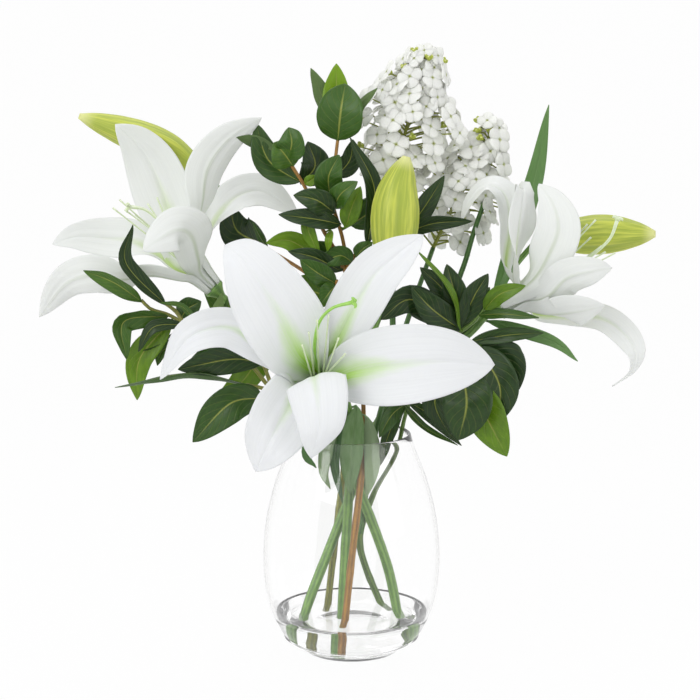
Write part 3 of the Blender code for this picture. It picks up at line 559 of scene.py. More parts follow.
blooms = {
    "front": {
        "base": (-19, -40, 196), "axis": (-0.1, -0.98, 0.1), "face": 0.0,
        "tepals": {
            "right": (5, "inner", 25, 14, 0,
                [(4, -87, 208), (29, -101, 214), (58, -101, 216), (89, -88, 212)]),
            "upperRight": (62, "outer", 17, 18, 0,
                [(-8, -80, 228), (11, -88, 264), (28, -82, 280), (45, -66, 291)]),
            "upperLeft": (122, "inner", 26, 16, 0,
                [(-34, -82, 220), (-43, -96, 243), (-57, -103, 267), (-68, -100, 281), (-78, -91, 287)]),
            "left": (175, "outer", 13, 20, 0,
                [(-41, -76, 211), (-57, -82, 224), (-78, -84, 235), (-102, -84, 228), (-121, -72, 200)]),
            "lowerLeft": (228, "outer", 21, 10, 0,
                [(-34, -80, 191), (-42, -90, 180), (-51, -97, 165), (-60, -92, 145)]),
            "lower": (288, "inner", 20, -28, 0,
                [(-20, -83, 199), (-23, -99, 207), (-21, -112, 195), (-20, -116, 177), (-25, -108, 157)]),
        },
        "style": [(-22, -66, 210), (-23, -84, 224), (-20, -98, 240), (-12, -106, 250), (0, -109, 254)],
        "filaments": [(-26, -112, 236), (-21, -110, 243), (-14, -106, 246), (-8, -110, 232),
                      (-4, -108, 222), (-30, -112, 228)],
    },
    "left": {
        "base": (-92, -8, 251), "axis": (-0.66, -0.22, 0.72), "face": 0.65,
        "tepals": {
            "back": (180, "outer", 20, 14, 0,
                [(-117, 9, 284), (-125, 19, 306), (-134, 24, 328), (-144, 22, 344), (-157, 14, 357)]),
            "up": (60, "outer", 15, 18, 0,
                [(-102, -17, 285), (-99, -7, 307), (-95, 0, 329), (-81, 2, 348), (-59, -2, 362)]),
            "right": (120, "inner", 14, 20, 0,
                [(-98, 4, 280), (-88, 18, 298), (-76, 26, 309), (-59, 30, 311), (-36, 26, 296)]),
            "farLeft": (240, "inner", 15, 16, 0,
                [(-127, -3, 271), (-144, 3, 280), (-163, 6, 282), (-183, 3, 283), (-198, -4, 279)]),
            "lowLeft": (300, "outer", 14, 16, 0,
                [(-113, -24, 258), (-131, -30, 262), (-150, -30, 259), (-170, -26, 261), (-189, -16, 253),
                 (-207, -8, 231)]),
            "lip": (0, "inner", 16, 12, 0,
                [(-100, -28, 272), (-103, -40, 288), (-110, -50, 293), (-121, -56, 288), (-132, -58, 280)]),
        },
        "style": [(-106, -14, 270), (-119, -16, 288), (-133, -18, 302), (-144, -20, 305)],
        "filaments": [(-152, -12, 309), (-148, -18, 303), (-142, -10, 299), (-134, -8, 306),
                      (-128, -6, 310), (-156, -16, 304)],
    },
    "right": {
        "base": (100, -8, 237), "axis": (0.86, -0.12, 0.48), "face": 0.5,
        "tepals": {
            "nearUp": (98, "inner", 14, 20, 0,
                [(107, -15, 260), (108, -20, 283), (111, -18, 303), (113, -8, 315), (110, 1, 312)]),
            "farLeft": (42, "outer", 11, 16, 0,
                [(103, 4, 264), (106, 6, 290), (102, 8, 311), (90, 9, 317), (79, 8, 307), (73, 4, 293)]),
            "rolled": (150, "outer", 15, 10, -70,
                [(120, -26, 259), (128, -29, 274), (134, -27, 291), (131, -18, 307), (123, -7, 319)]),
            "near": (202, "inner", 13, 14, 0,
                [(127, -29, 247), (139, -35, 260), (156, -36, 265), (169, -30, 266)]),
            "nearLow": (255, "outer", 16, 14, 0,
                [(131, -22, 235), (146, -33, 238), (164, -36, 242)]),
            "hanging": (322, "inner", 10, 14, 0,
                [(122, 2, 232), (143, 6, 230), (166, 2, 229), (181, -2, 220), (189, -6, 207),
                 (186, -8, 194), (174, -8, 184)]),
        },
        "style": [(124, -14, 250), (148, -16, 266), (161, -18, 276), (169, -20, 285), (173, -20, 296)],
        "filaments": [(160, -14, 296), (155, -12, 293), (158, -8, 284), (164, -16, 279), (172, -22, 275),
                      (168, -6, 274)],
    },
}
tepalLook = {"thickness": 0.75, "rows": 56, "across": 24, "crease": 0.8, "ripple": 1.1, "bulge": 0.5,
             "peak": 0.56,
             "rings": {"inner": [(0.1, 4.2), (14, 6.6), (26, 10.5)],
                       "outer": [(0.1, 6.4), (14, 9.2), (26, 13.5)]},
             # rings are (along the axis, radius)
             "neck": {"inner": 3.2, "outer": 3.8}, "tube": (28, 58), "opens": (0.25, 0.7)}


def tepalShape(bloom, around, layer, halfWidth, cup, turn, points, number):
    count = tepalLook["rows"]
    base = place(bloom["base"])
    axis = unit(np.array(bloom["axis"], dtype=float))
    limb = [place(p) for p in points]
    upward = unit(np.array([0.0, 0.0, 1.0]) - axis * axis[2])
    sideways = np.cross(upward, axis)
    around = math.radians(around)
    radial = math.cos(around) * sideways + math.sin(around) * upward
    rings = tepalLook["rings"][layer]
    if np.dot(limb[0] - base, axis) < 36 * mm:
        rings = rings[:2]
    path = smoothPath([base + axis * s * mm + radial * r * mm for s, r in rings] + limb, count)
    share = np.linspace(0, 1, count)
    peak = tepalLook["peak"]
    narrow = tepalLook["neck"][layer]
    rise = np.sin(math.pi / 2 * np.clip(share / peak, 0, 1)) ** 1.35
    fall = 1 - np.clip((share - peak) / (1 - peak), 0, 1) ** 2.1
    half = (narrow + (halfWidth - narrow) * rise) * fall ** 0.8
    half = np.maximum(half, 0.25) * mm
    away = path - base
    along = away @ axis
    reach = np.linalg.norm(away - np.outer(along, axis), axis=1)
    near = 1 - smoothStep(along, tepalLook["tube"][0] * mm, tepalLook["tube"][1] * mm)
    near = np.where(share > 0.55, 0, near)
    hug = np.clip(half / np.maximum(reach, 3 * mm), 0, 0.95)
    lay = math.radians(cup)
    left = near * hug + (1 - near) * lay
    right = left + math.radians(turn) * share ** 1.5
    side = np.tile(np.cross(radial, axis), (count, 1))
    level = np.cross(directions(path), (0.0, 1.0, 0.0))
    level *= 1 if np.dot(level[count // 2], side[0]) > 0 else -1
    openness = (bloom["face"] * smoothStep(share, *tepalLook["opens"]))[:, None]
    side = side * (1 - openness) + level * openness
    form = {"ripple": tepalLook["ripple"] * mm, "waves": 1.6 + 0.37 * (number % 4), "phase": 1.3 * number,
            "bulge": tepalLook["bulge"] * mm, "crease": tepalLook["crease"] * mm,
            "folds": [(0.42, 0.25 * mm), (-0.45, 0.25 * mm)]}
    return sheetShape(path, side, half, left, right, tepalLook["thickness"] * mm, tepalLook["across"], form)


heartLook = {"seatHeights": (-9, -6.5, -4, -2, -0.6, 0.6), "seatRadii": (2.6, 3.6, 5.2, 6.8, 7.0, 6.0),
             "style": (1.7, 1.15, 0.95, 1.3), "filament": (0.75, 0.6, 0.5, 0.7),
             "lobe": (1.0, 1.2, 1.3, 1.3, 1.25, 1.15, 1.0, 0.85, 0.65, 0.3)}


def makeHeart(name, bloom):  # green seat, style with its three-lobed stigma, and six filaments
    base = place(bloom["base"])
    axis = unit(np.array(bloom["axis"], dtype=float))
    seat = [base + axis * s * mm for s in heartLook["seatHeights"]]
    addPiece(f"{name}BloomSeat", [barShape(np.array(seat), np.array(heartLook["seatRadii"]) * mm, 24,
                                           lambda a, s: 1 - 0.07 * math.cos(3 * a))],
             stalks["lilyStem"], f"{name}_lily")
    style = smoothPath([base + axis * s * mm for s in (-1, 2, 8)] + [place(p) for p in bloom["style"]], 48)
    thick = np.interp(np.linspace(0, 1, 48), [0, 0.2, 0.9, 1], heartLook["style"]) * mm
    shapes = [barShape(style, thick, 12, lambda a, s: 1 - 0.08 * math.cos(3 * a))]
    tip = unit(style[-1] - style[-4])
    across = unit(np.cross(tip, (0.1, 0.9, 0.3)))
    other = np.cross(tip, across)
    for k in range(3):
        a = 2 * math.pi * k / 3 + 0.4
        out = math.cos(a) * across + math.sin(a) * other
        lobe = smoothPath([style[-1], style[-1] + tip * 1.6 * mm + out * 1.3 * mm,
                           style[-1] + tip * 2.0 * mm + out * 3.0 * mm,
                           style[-1] + tip * 1.0 * mm + out * 4.0 * mm], 10)
        shapes.append(barShape(lobe, np.array(heartLook["lobe"]) * mm, 10))
    stalk = "throatGreen" if name == "front" else "paleFilament"
    addPiece(f"{name}Style", shapes, stalks[stalk], f"{name}_lily")
    sideways = unit(np.cross(axis, (0.2, 0.3, 0.9)))
    upward = np.cross(sideways, axis)
    threads = []
    for k, end in enumerate(bloom["filaments"]):
        a = 2 * math.pi * (k + 0.5) / len(bloom["filaments"])
        ring = (math.cos(a) * sideways + math.sin(a) * upward) * mm
        starts = [base + axis * s * mm + ring * r for s, r in ((-1, 2.2), (6, 2.7), (22, 3.2))]
        thread = smoothPath(starts + [place(end)], 36)
        threads.append(barShape(thread,
                                np.interp(np.linspace(0, 1, 36), [0, 0.5, 0.93, 1],
                                          heartLook["filament"]) * mm, 8))
    addPiece(f"{name}Filaments", threads, stalks["paleFilament"], f"{name}_lily")


for name, bloom in blooms.items():
    petal = petalMaterials["frontPetal" if name == "front" else "sidePetalShaded"]
    for number, (tepal, plan) in enumerate(bloom["tepals"].items()):
        label = f"{name}Tepal{tepal[0].upper()}{tepal[1:]}"
        addPiece(label, [tepalShape(bloom, *plan, number)], petal, f"{name}_lily")
    makeHeart(name, bloom)
    print("scene: bloom made,", name)


# ---- buds: points along the middle from the stalk end to the tip, and the greatest radius ----

buds = {
    "left": ([(-101, 40, 322), (-124, 40, 339), (-153, 38, 351), (-184, 34, 362)], 11.5),
    "right": ([(134, 26, 280), (168, 22, 283), (204, 14, 284)], 13.5),
    "centre": ([(27, -18, 262), (28, -16, 290), (30, -12, 314), (36, -10, 337)], 16),
}
budLook = {"light": (0.58, 0.63, 0.09, 1), "dark": (0.34, 0.42, 0.05, 1), "tip": (0.72, 0.74, 0.30, 1),
           "foot": (0.36, 0.50, 0.07, 1), "veins": 30.0,
           "swell": [(0, 0.42), (0.14, 0.70), (0.29, 0.92), (0.43, 1.0), (0.57, 0.97), (0.71, 0.82),
                     (0.86, 0.56),
                     (0.96, 0.30), (1.0, 0.12)]}


def makeBudMaterial(look):
    material, s, shader = newMaterial("budGreen")
    parts = s.add("ShaderNodeSeparateXYZ", _0=s.uv()).outputs
    ring = s.math("MULTIPLY", parts[0], 6.2832)
    strands = s.add("ShaderNodeCombineXYZ",
                    _0=s.math("MULTIPLY", s.math("COSINE", ring), look["veins"] / 6.2832),
                    _1=s.math("MULTIPLY", s.math("SINE", ring), look["veins"] / 6.2832),
                    _2=s.math("MULTIPLY", parts[1], 1.6)).outputs[0]
    veins = s.add("ShaderNodeTexNoise", _0=strands, Scale=1.3, Detail=3.0, Roughness=0.6)
    groove = s.ramp(s.math("COSINE", s.math("MULTIPLY", ring, 3.0)), 0.55, 1.0)
    fade = s.ramp(parts[1], 0.0, 0.3, 1.0, 0.0)
    body = s.mix(s.ramp(veins.outputs[0], 0.35, 0.68), look["dark"], look["light"])
    body = s.mix(s.math("MULTIPLY", groove, 0.45), body, look["dark"])
    body = s.mix(s.math("MULTIPLY", fade, 0.7), body, look["foot"])
    body = s.mix(s.ramp(parts[1], 0.86, 1.0), body, look["tip"])
    s.feed(shader, "Base_Color", body)
    s.feed(shader, "Roughness", s.math("MULTIPLY_ADD", veins.outputs[0], 0.2, 0.38))
    bump = s.add("ShaderNodeBump", Strength=0.5, Distance=0.0012, Height=veins.outputs[0])
    s.feed(shader, "Normal", bump.outputs[0])
    shader.inputs["Subsurface Weight"].default_value = 0.15
    shader.inputs["Subsurface Radius"].default_value = (1.0, 1.0, 0.3)
    shader.inputs["Subsurface Scale"].default_value = 0.003
    return material


budMaterial = makeBudMaterial(budLook)


def makeBud(name, points, radius):
    rows = 48
    path = smoothPath([place(p) for p in points], rows)
    share = np.linspace(0, 1, rows)
    swell = np.interp(share, *zip(*budLook["swell"]))
    kernel = np.array([1, 2, 3, 2, 1]) / 9
    swell = np.convolve(np.pad(swell, 2, mode="edge"), kernel, mode="valid")

    def groove(a, s):
        depth = 0.085 * math.sin(math.pi * min(1, 0.1 + s))
        return 1 - depth * max(0.0, math.cos(3 * a)) ** 3 - 0.02 * math.cos(6 * a)

    addPiece(f"{name}Bud", [barShape(path, radius * mm * swell, 48, groove)], budMaterial,
             {"left": "left_lily", "right": "right_lily", "centre": "front_lily"}[name])
    return path


budPaths = {name: makeBud(name, *plan) for name, plan in buds.items()}
print("scene: buds made")


# ---- leaves: (base, middle, tip, half width, turn, cup, shade); turn 0 faces the front; shade is partly the leaf's own tone and partly painted sheen and shade ----

leafForm = {"width": 1.16, "rows": 26, "across": 12, "thickness": 0.45, "crease": 0.9, "ripple": 0.7}


def nearest(point, paths):
    best = None
    for path in paths:
        for a, b in zip(path, path[1:]):
            s = np.clip(np.dot(point - a, b - a) / max(np.dot(b - a, b - a), 1e-12), 0, 1)
            there = a + (b - a) * s
            if best is None or np.linalg.norm(there - point) < np.linalg.norm(best - point):
                best = there
    return best


def leafShape(leaf, carriers, number):
    base, middle, tip, halfWidth, turn, cup, _ = leaf
    rows = leafForm["rows"]
    b, m, t = place(base), place(middle), place(tip)
    start = nearest(b, carriers)
    points = [start, b, m, t] if np.linalg.norm(start - b) > 1.5 * mm else [start, m, t]
    path = smoothPath(points, rows)
    stalk = min(0.35, np.linalg.norm(start - b) / max(np.linalg.norm(m - b) + np.linalg.norm(t - m), 1e-6))
    share = np.linspace(0, 1, rows)
    body = np.clip((share - stalk * 0.8) / (1 - stalk * 0.8), 0, 1)
    half = leafForm["width"] * halfWidth * np.sin(math.pi * body ** 0.85) ** 0.75
    half = np.maximum(np.nan_to_num(half), 0.7 - 0.45 * share) * mm
    angle = math.radians(turn)
    away = np.array([0.0, 1.0, 0.0])
    side, flat = [], None
    for d in directions(path):
        level = np.cross(d, -away)
        level = -level if np.linalg.norm(level) > 0.2 or flat is None else flat
        flat = unit(level)
        side.append(-math.cos(angle) * flat + math.sin(angle) * away)
    cups = np.full(rows, math.radians(cup)) * np.clip(body * 4, 0.1, 1)
    scale = min(1.0, halfWidth / 8)
    form = {"ripple": leafForm["ripple"] * scale * mm, "waves": 2.0 + 0.4 * (number % 3),
            "phase": 2.1 * number,
            "bulge": 0.5 * scale * mm, "crease": leafForm["crease"] * scale * mm, "creaseWidth": 0.16}
    return sheetShape(path, np.array(side), half, cups, cups, leafForm["thickness"] * mm,
                      leafForm["across"], form)


# ---- lily stems ----

lilies = {
    "front": {
        "path": [(-7, 1, 9), (-6, 0, 34), (-2, -4, 109), (0, -6, 147), (-4, -14, 176), (-17, -34, 195)],
        "stalks": [([(-4, -13, 174), (8, -22, 205), (20, -22, 238)], "centre")],
        "leaves": [
            ((3, -12, 170), (0, -24, 147), (-1, -20, 113), 7, 0, 25, 0.62),
            ((10, -14, 164), (14, -23, 136), (10, -20, 111), 5, 170, 20, 1.0),
            ((-5, -16, 175), (-11, -27, 141), (-6, -25, 108), 3.4, 20, 20, 0.1),
            ((-8, -20, 178), (-18, -29, 135), (-14, -26, 118), 4.5, 170, 20, 0.9),
            ((-10, -24, 182), (-29, -40, 148), (-23, -42, 136), 4.5, 0, 15, 0.2),
        ],
    },
    "right": {
        "path": [(-33, -6, 12), (-30, -5, 32), (-10, 6, 82), (3, 12, 115), (19, 14, 157), (53, 8, 199),
                 (77, 0, 217), (97, -7, 234)],
        "stalks": [([(62, 6, 206), (92, 26, 236), (116, 32, 266)], "right")],
        "leaves": [
            ((97, 14, 241), (121, 20, 313), (131, 14, 370), 6, -10, 25, 0.4),
            ((93, 4, 226), (133, -10, 215), (150, -14, 202), 4, 0, 20, 0.5),
        ],
    },
    "left": {
        "path": [(34, 0, 11), (25, 2, 56), (8, -8, 106), (0, -14, 128), (-11, -14, 159), (-35, 0, 194),
                 (-68, 4, 221), (-88, -6, 246)],
        "stalks": [([(-52, 3, 210), (-72, 36, 256), (-86, 54, 300)], "left")],
        "leaves": [],
    },
}
stemLook = {"radius": 3.4, "neck": 2.4, "stalk": 2.0}


def makeLilyStem(name, plan):
    bloom = blooms[name]
    axis = unit(np.array(bloom["axis"], dtype=float))
    points = [place(p) for p in plan["path"]]
    points[-1] = place(bloom["base"]) - axis * 5 * mm
    points.insert(-1, points[-1] - axis * 8 * mm)
    path = smoothPath(points, 90)
    share = np.linspace(0, 1, 90)
    radii = (stemLook["radius"] + (stemLook["neck"] - stemLook["radius"]) * np.clip(share * 1.6 - 0.5, 0,
        1)) * mm
    knots = 1 + 0.05 * np.sin(share * 40 + 2) * np.exp(-((share * 8) % 1 - 0.5) ** 2 * 30)
    shapes = [barShape(path, radii * knots, 20, lambda a, s: 1 + 0.03 * math.cos(5 * a + 3 * s))]
    paths = [path]
    for stalk, bud in plan["stalks"]:
        heart = budPaths[bud]
        along = unit(heart[1] - heart[0])
        ends = [place(p) for p in stalk] + [heart[0] - along * 6 * mm, heart[0] + along * 2 * mm]
        ends[0] = nearest(ends[0], paths)
        sidePath = smoothPath(ends, 48)
        widen = np.interp(np.linspace(0, 1, 48), [0, 0.85, 1], [1, 1, 1.9])
        shapes.append(barShape(sidePath, stemLook["stalk"] * mm * widen, 16))
        paths.append(sidePath)
    addPiece(f"{name}LilyStem", shapes, stalks["lilyStem"], f"{name}_lily")
    if plan["leaves"]:
        leaves = [leafShape(leaf, paths, i) for i, leaf in enumerate(plan["leaves"])]
        addPiece(f"{name}LilyLeaves", leaves, lilyLeaf, f"{name}_lily",
                 [leaf[-1] for leaf in plan["leaves"]])


for name, plan in lilies.items():
    makeLilyStem(name, plan)
print("scene: lily stems made")


# ---- glossy-leaved sprays: the main path first, then side twigs, then leaves ----

greenery = {
    "upper_greenery": {
        "twigs": [
            [(-6, -20, 9), (0, -22, 68), (6, -22, 122), (8, -8, 150), (7, 0, 187), (0, 6, 240),
             (-2, 7, 257), (-6, 6, 282), (-12, 4, 303), (-12, 4, 318), (-11, 6, 331), (-10, 8, 340),
             (-9, 8, 348)],
            [(-1, 7, 254), (-12, 4, 276), (-19, 2, 288), (-26, 0, 305), (-31, -1, 317), (-39, -2, 330),
             (-43, -3, 337)],
            [(-1, 7, 262), (4, 6, 273), (12, 2, 280)],
            [(0, 6, 234), (-14, 9, 247), (-35, 13, 261), (-59, 18, 275)],
            [(0, 6, 228), (-9, 0, 241), (-10, -2, 255)],
            [(4, 2, 214), (22, 8, 247), (35, 8, 281)],
        ],
        "leaves": [
            ((-5, 14, 262), (-22, 12, 270), (-36, 8, 272), 9, 10, 15, 0.5),
            ((0, 18, 290), (16, 16, 300), (30, 14, 304), 9, 0, 15, 0.35),
            ((2, 20, 240), (18, 22, 252), (34, 22, 262), 11, 10, 12, 0.2),
            ((-12, 16, 240), (-30, 14, 246), (-46, 10, 246), 10, 0, 14, 0.6),
            ((-10, 10, 352), (-10, 15, 373), (-10, 14, 397), 8.4, 0, 15, 1.0),
            ((-11, 12, 351), (-17, 17, 370), (-27, 17, 394), 6.0, 160, 20, 0.6),
            ((-9, 6, 348), (-7, -1, 367), (-4, 8, 384), 13.9, 0, 35, 0.45),
            ((-8, 10, 348), (3, 12, 367), (17, 10, 381), 5.3, 130, 20, 0.6),
            ((-10, 12, 323), (-1, 17, 333), (1, 15, 347), 6.7, 20, 15, 0.1),
            ((-39, -4, 331), (-45, -10, 340), (-51, -9, 346), 9.2, 0, 25, 0.55),
            ((-42, -6, 336), (-39, -13, 346), (-41, -10, 356), 8.5, -10, 25, 0.45),
            ((-36, 0, 321), (-55, 3, 334), (-63, 4, 358), 8.6, 0, 15, 0.25),
            ((-49, 2, 339), (-62, 5, 345), (-76, 3, 349), 4.7, 150, 15, 0.3),
            ((-47, 4, 339), (-58, 9, 335), (-65, 9, 332), 4.7, 0, 10, 0.7),
            ((-33, 4, 319), (-24, 8, 330), (-29, 8, 346), 8.7, 10, 10, 0.1),
            ((-32, 0, 318), (-27, -4, 321), (-22, -4, 324), 3.3, 0, 10, 0.8),
            ((-14, 0, 311), (-15, -7, 324), (-8, -7, 338), 8.2, 0, 15, 0.4),
            ((-12, -2, 303), (-7, -13, 313), (4, -13, 321), 6.2, -20, 20, 0.5),
            ((-4, 2, 290), (0, -5, 303), (6, -3, 317), 5.9, 0, 15, 0.75),
            ((-12, -2, 300), (-23, -15, 309), (-38, -13, 312), 7.2, 0, 15, 0.15),
            ((-8, 0, 292), (-23, -9, 296), (-48, -9, 299), 5.9, 20, 20, 0.1),
            ((-25, -2, 301), (-29, -5, 290), (-21, -3, 271), 4.0, 0, 15, 0.75),
            ((-14, 0, 288), (-15, -5, 282), (-16, -2, 274), 2.6, 30, 10, 0.9),
            ((-20, 10, 264), (-40, 5, 280), (-57, 4, 279), 6.6, 0, 15, 0.8),
            ((-8, 2, 261), (-24, -4, 270), (-42, -2, 274), 5.3, 0, 15, 0.1),
            ((-10, -2, 252), (-22, -8, 260), (-34, -8, 269), 6.6, 0, 15, 0.4),
            ((-10, -3, 251), (-14, -8, 248), (-20, -8, 240), 5.9, 0, 10, 0.45),
            ((0, 5, 266), (-8, -1, 271), (-22, -1, 265), 6.0, 0, 10, 0.45),
            ((3, 4, 270), (8, -2, 276), (14, -2, 280), 4.6, 0, 10, 0.45),
            ((11, 0, 281), (15, -1, 316), (-1, -1, 349), 5.3, 0, 30, 0.08),
            ((35, 6, 284), (54, 2, 292), (80, -2, 294), 4.6, 10, 20, 0.1),
            ((35, 8, 283), (50, 12, 304), (62, 14, 323), 6.1, 0, 15, 0.15),
            ((-59, 20, 276), (-78, 36, 284), (-83, 38, 302), 11.5, 0, 20, 0.1),
            ((-56, 16, 273), (-61, 12, 282), (-66, 11, 292), 2.7, 50, 10, 0.3),
        ],
    },
    "left_greenery": {
        "twigs": [
            [(-18, 14, 12), (-13, 14, 58), (-8, 20, 99), (-5, 22, 130), (-12, 6, 148), (-22, -16, 159),
             (-36, -36, 175), (-51, -46, 188), (-64, -50, 205), (-77, -50, 218), (-95, -44, 225),
             (-109, -36, 231), (-119, -34, 236), (-130, -36, 240), (-136, -37, 246)],
            [(-51, -46, 188), (-54, -48, 198), (-58, -50, 208), (-65, -52, 214)],
            [(-51, -46, 188), (-60, -50, 191), (-68, -52, 193)],
            [(-109, -36, 231), (-114, -34, 238), (-121, -36, 244)],
        ],
        "leaves": [
            ((-70, -6, 214), (-92, -14, 206), (-112, -18, 196), 9, 20, 15, 0.3),
            ((-74, 0, 220), (-88, 4, 238), (-100, 6, 252), 9, -10, 15, 0.55),
            ((-60, -10, 205), (-72, -22, 190), (-88, -30, 180), 9, 10, 15, 0.75),
            ((-137, -39, 246), (-152, -46, 258), (-172, -44, 266), 5.8, -25, 30, 0.55),
            ((-122, -38, 245), (-144, -50, 272), (-139, -50, 296), 5.1, 35, 35, 0.1),
            ((-121, -36, 235), (-147, -42, 232), (-145, -48, 209), 7.0, -30, 30, 0.5),
            ((-110, -37, 230), (-128, -42, 229), (-138, -42, 213), 3.8, 20, 25, 0.1),
            ((-118, -36, 231), (-138, -36, 207), (-140, -36, 180), 7.7, 0, 20, 0.75),
            ((-117, -33, 223), (-128, -35, 216), (-138, -35, 212), 2.2, 60, 10, 0.3),
            ((-114, -32, 219), (-124, -31, 211), (-127, -31, 202), 3.9, 0, 15, 0.5),
            ((-111, -34, 233), (-107, -28, 239), (-98, -28, 244), 6.5, 0, 20, 0.25),
            ((-98, -40, 227), (-109, -40, 242), (-124, -42, 245), 2.6, 55, 10, 0.5),
            ((-90, -44, 223), (-88, -34, 235), (-84, -32, 250), 4.5, 150, 10, 0.7),
            ((-81, -48, 221), (-80, -34, 231), (-80, -30, 248), 4.5, 0, 10, 0.5),
            ((-72, -48, 214), (-74, -30, 230), (-78, -26, 242), 3.9, 0, 10, 0.15),
            ((-57, -49, 184), (-78, -60, 182), (-102, -60, 157), 10.7, 0, 25, 0.3),
            ((-58, -50, 206), (-77, -55, 210), (-111, -58, 204), 8.2, 0, 15, 0.15),
            ((-68, -52, 193), (-103, -58, 201), (-151, -62, 193), 5.0, -62, 20, 0.45),
        ],
    },
    "right_greenery": {
        "twigs": [
            [(27, 16, 12), (10, 18, 52), (6, 21, 75), (16, 20, 105), (30, 6, 135), (38, -6, 170),
             (53, -10, 197), (66, -14, 215), (72, -20, 223)],
            [(57, -8, 202), (66, -24, 203), (72, -38, 199)],
            [(40, -6, 174), (38, -14, 176), (35, -24, 175)],
            [(65, -13, 214), (77, -18, 213), (83, -26, 212)],
            [(72, -20, 223), (80, -24, 230), (87, -26, 239)],
        ],
        "leaves": [
            ((60, 6, 214), (78, 0, 232), (92, -2, 250), 10, 0, 14, 0.3),
            ((70, 4, 196), (92, 0, 188), (112, -4, 178), 11, 0, 12, 0.15),
            ((66, -20, 227), (39, -27, 245), (19, -29, 232), 9.1, 0, 15, 0.08),
            ((69, -22, 226), (52, -34, 240), (39, -32, 254), 8.4, 0, 15, 0.12),
            ((70, -19, 226), (62, -19, 248), (45, -17, 265), 7.2, 10, 15, 0.1),
            ((71, -24, 226), (64, -33, 252), (41, -29, 279), 3.2, 60, 20, 0.7),
            ((72, -21, 227), (67, -27, 250), (62, -25, 268), 7.8, 0, 20, 0.12),
            ((73, -21, 227), (80, -27, 247), (89, -27, 262), 7.1, 0, 20, 0.12),
            ((87, -28, 239), (96, -38, 250), (112, -42, 256), 5.2, -10, 15, 0.7),
            ((84, -27, 235), (100, -38, 237), (121, -42, 235), 3.9, -50, 15, 0.35),
            ((80, -24, 217), (102, -30, 222), (125, -34, 224), 4.5, -20, 20, 0.2),
            ((83, -26, 214), (105, -29, 214), (112, -29, 209), 3.9, 0, 10, 0.5),
            ((83, -26, 214), (102, -30, 206), (110, -30, 186), 9.7, 0, 15, 0.1),
            ((83, -28, 212), (96, -42, 191), (95, -42, 165), 11.5, 0, 20, 0.15),
            ((72, -40, 198), (74, -56, 181), (69, -54, 157), 14.5, 0, 22, 0.2),
            ((75, -36, 194), (91, -48, 164), (101, -48, 145), 11.4, 0, 18, 0.75),
            ((69, -30, 200), (54, -42, 181), (64, -42, 157), 7.7, 20, 15, 0.15),
            ((37, -18, 177), (51, -36, 170), (72, -38, 150), 3.9, 20, 15, 0.15),
            ((35, -26, 175), (47, -44, 164), (69, -46, 152), 2.6, -50, 15, 0.35),
            ((35, -26, 175), (26, -38, 170), (18, -45, 157), 5.1, 0, 15, 0.3),
            ((34, -18, 175), (24, -21, 152), (19, -21, 133), 3.9, 0, 20, 0.2),
        ],
    },
}
twigFinish = {"upper_greenery": "orangeTwig", "left_greenery": "oliveTwig", "right_greenery": "greenTwig"}
twigRadius = 1.4


def makeSpray(node, plan):
    paths, shapes = [], []
    for i, twig in enumerate(plan["twigs"]):
        points = [place(p) for p in twig]
        if i:
            points[0] = nearest(points[0], paths)
        rows = 90 if i == 0 else 24
        path = smoothPath(points, rows)
        thick = (1.35 if i == 0 else 1.0) * twigRadius
        share = np.linspace(0, 1, rows)
        radii = thick + (0.8 * twigRadius - thick) * share
        if i == 0:
            radii = np.where(share < 0.4, 1.7 * twigRadius, radii)
            radii = np.convolve(np.pad(radii, 4, mode="edge"), np.ones(9) / 9, mode="valid")
        radii = radii * (1 + 0.10 * np.exp(-(((share * rows / 9) % 1) - 0.5) ** 2 * 60))
        shapes.append(barShape(path, radii * mm, 14))
        paths.append(path)
    label = {"upper_greenery": "upperSpray", "left_greenery": "leftSpray",
             "right_greenery": "rightSpray"}[node]
    addPiece(f"{label}Twigs", shapes, stalks[twigFinish[node]], node)
    leaves = [leafShape(leaf, paths, i) for i, leaf in enumerate(plan["leaves"])]
    addPiece(f"{label}Leaves", leaves, glossyLeaf, node,
             [leaf[-1] for leaf in plan["leaves"]])


for node, plan in greenery.items():
    makeSpray(node, plan)
print("scene: leaf sprays made")


# ---- lilac: stems, then each panicle as its axis points with the spread at each of them ----

lilacStems = [
    [(6, -5, 82), (10, 2, 112), (14, 3, 140), (20, 8, 165), (32, 20, 205), (44, 30, 240), (56, 40, 272)],
    [(28, 16, 195), (28, 26, 240), (30, 32, 280), (32, 34, 312)],
    [(38, 22, 212), (60, 20, 225), (75, 25, 258), (83, 28, 284), (90, 30, 304)],
]
panicles = {
    "large": {"axis": [(32, 34, 312), (34, 34, 340), (42, 34, 372), (50, 32, 404)],
              "spread": [26, 41, 28, 9],
              "florets": 74, "buds": 14},
    "small": {"axis": [(56, 40, 272), (70, 46, 300), (88, 46, 330), (96, 44, 356)],
              "spread": [34, 37, 23, 9],
              "florets": 56, "buds": 24},
}
floret = {"size": 8.8, "cup": 0.9, "depth": 0.78}


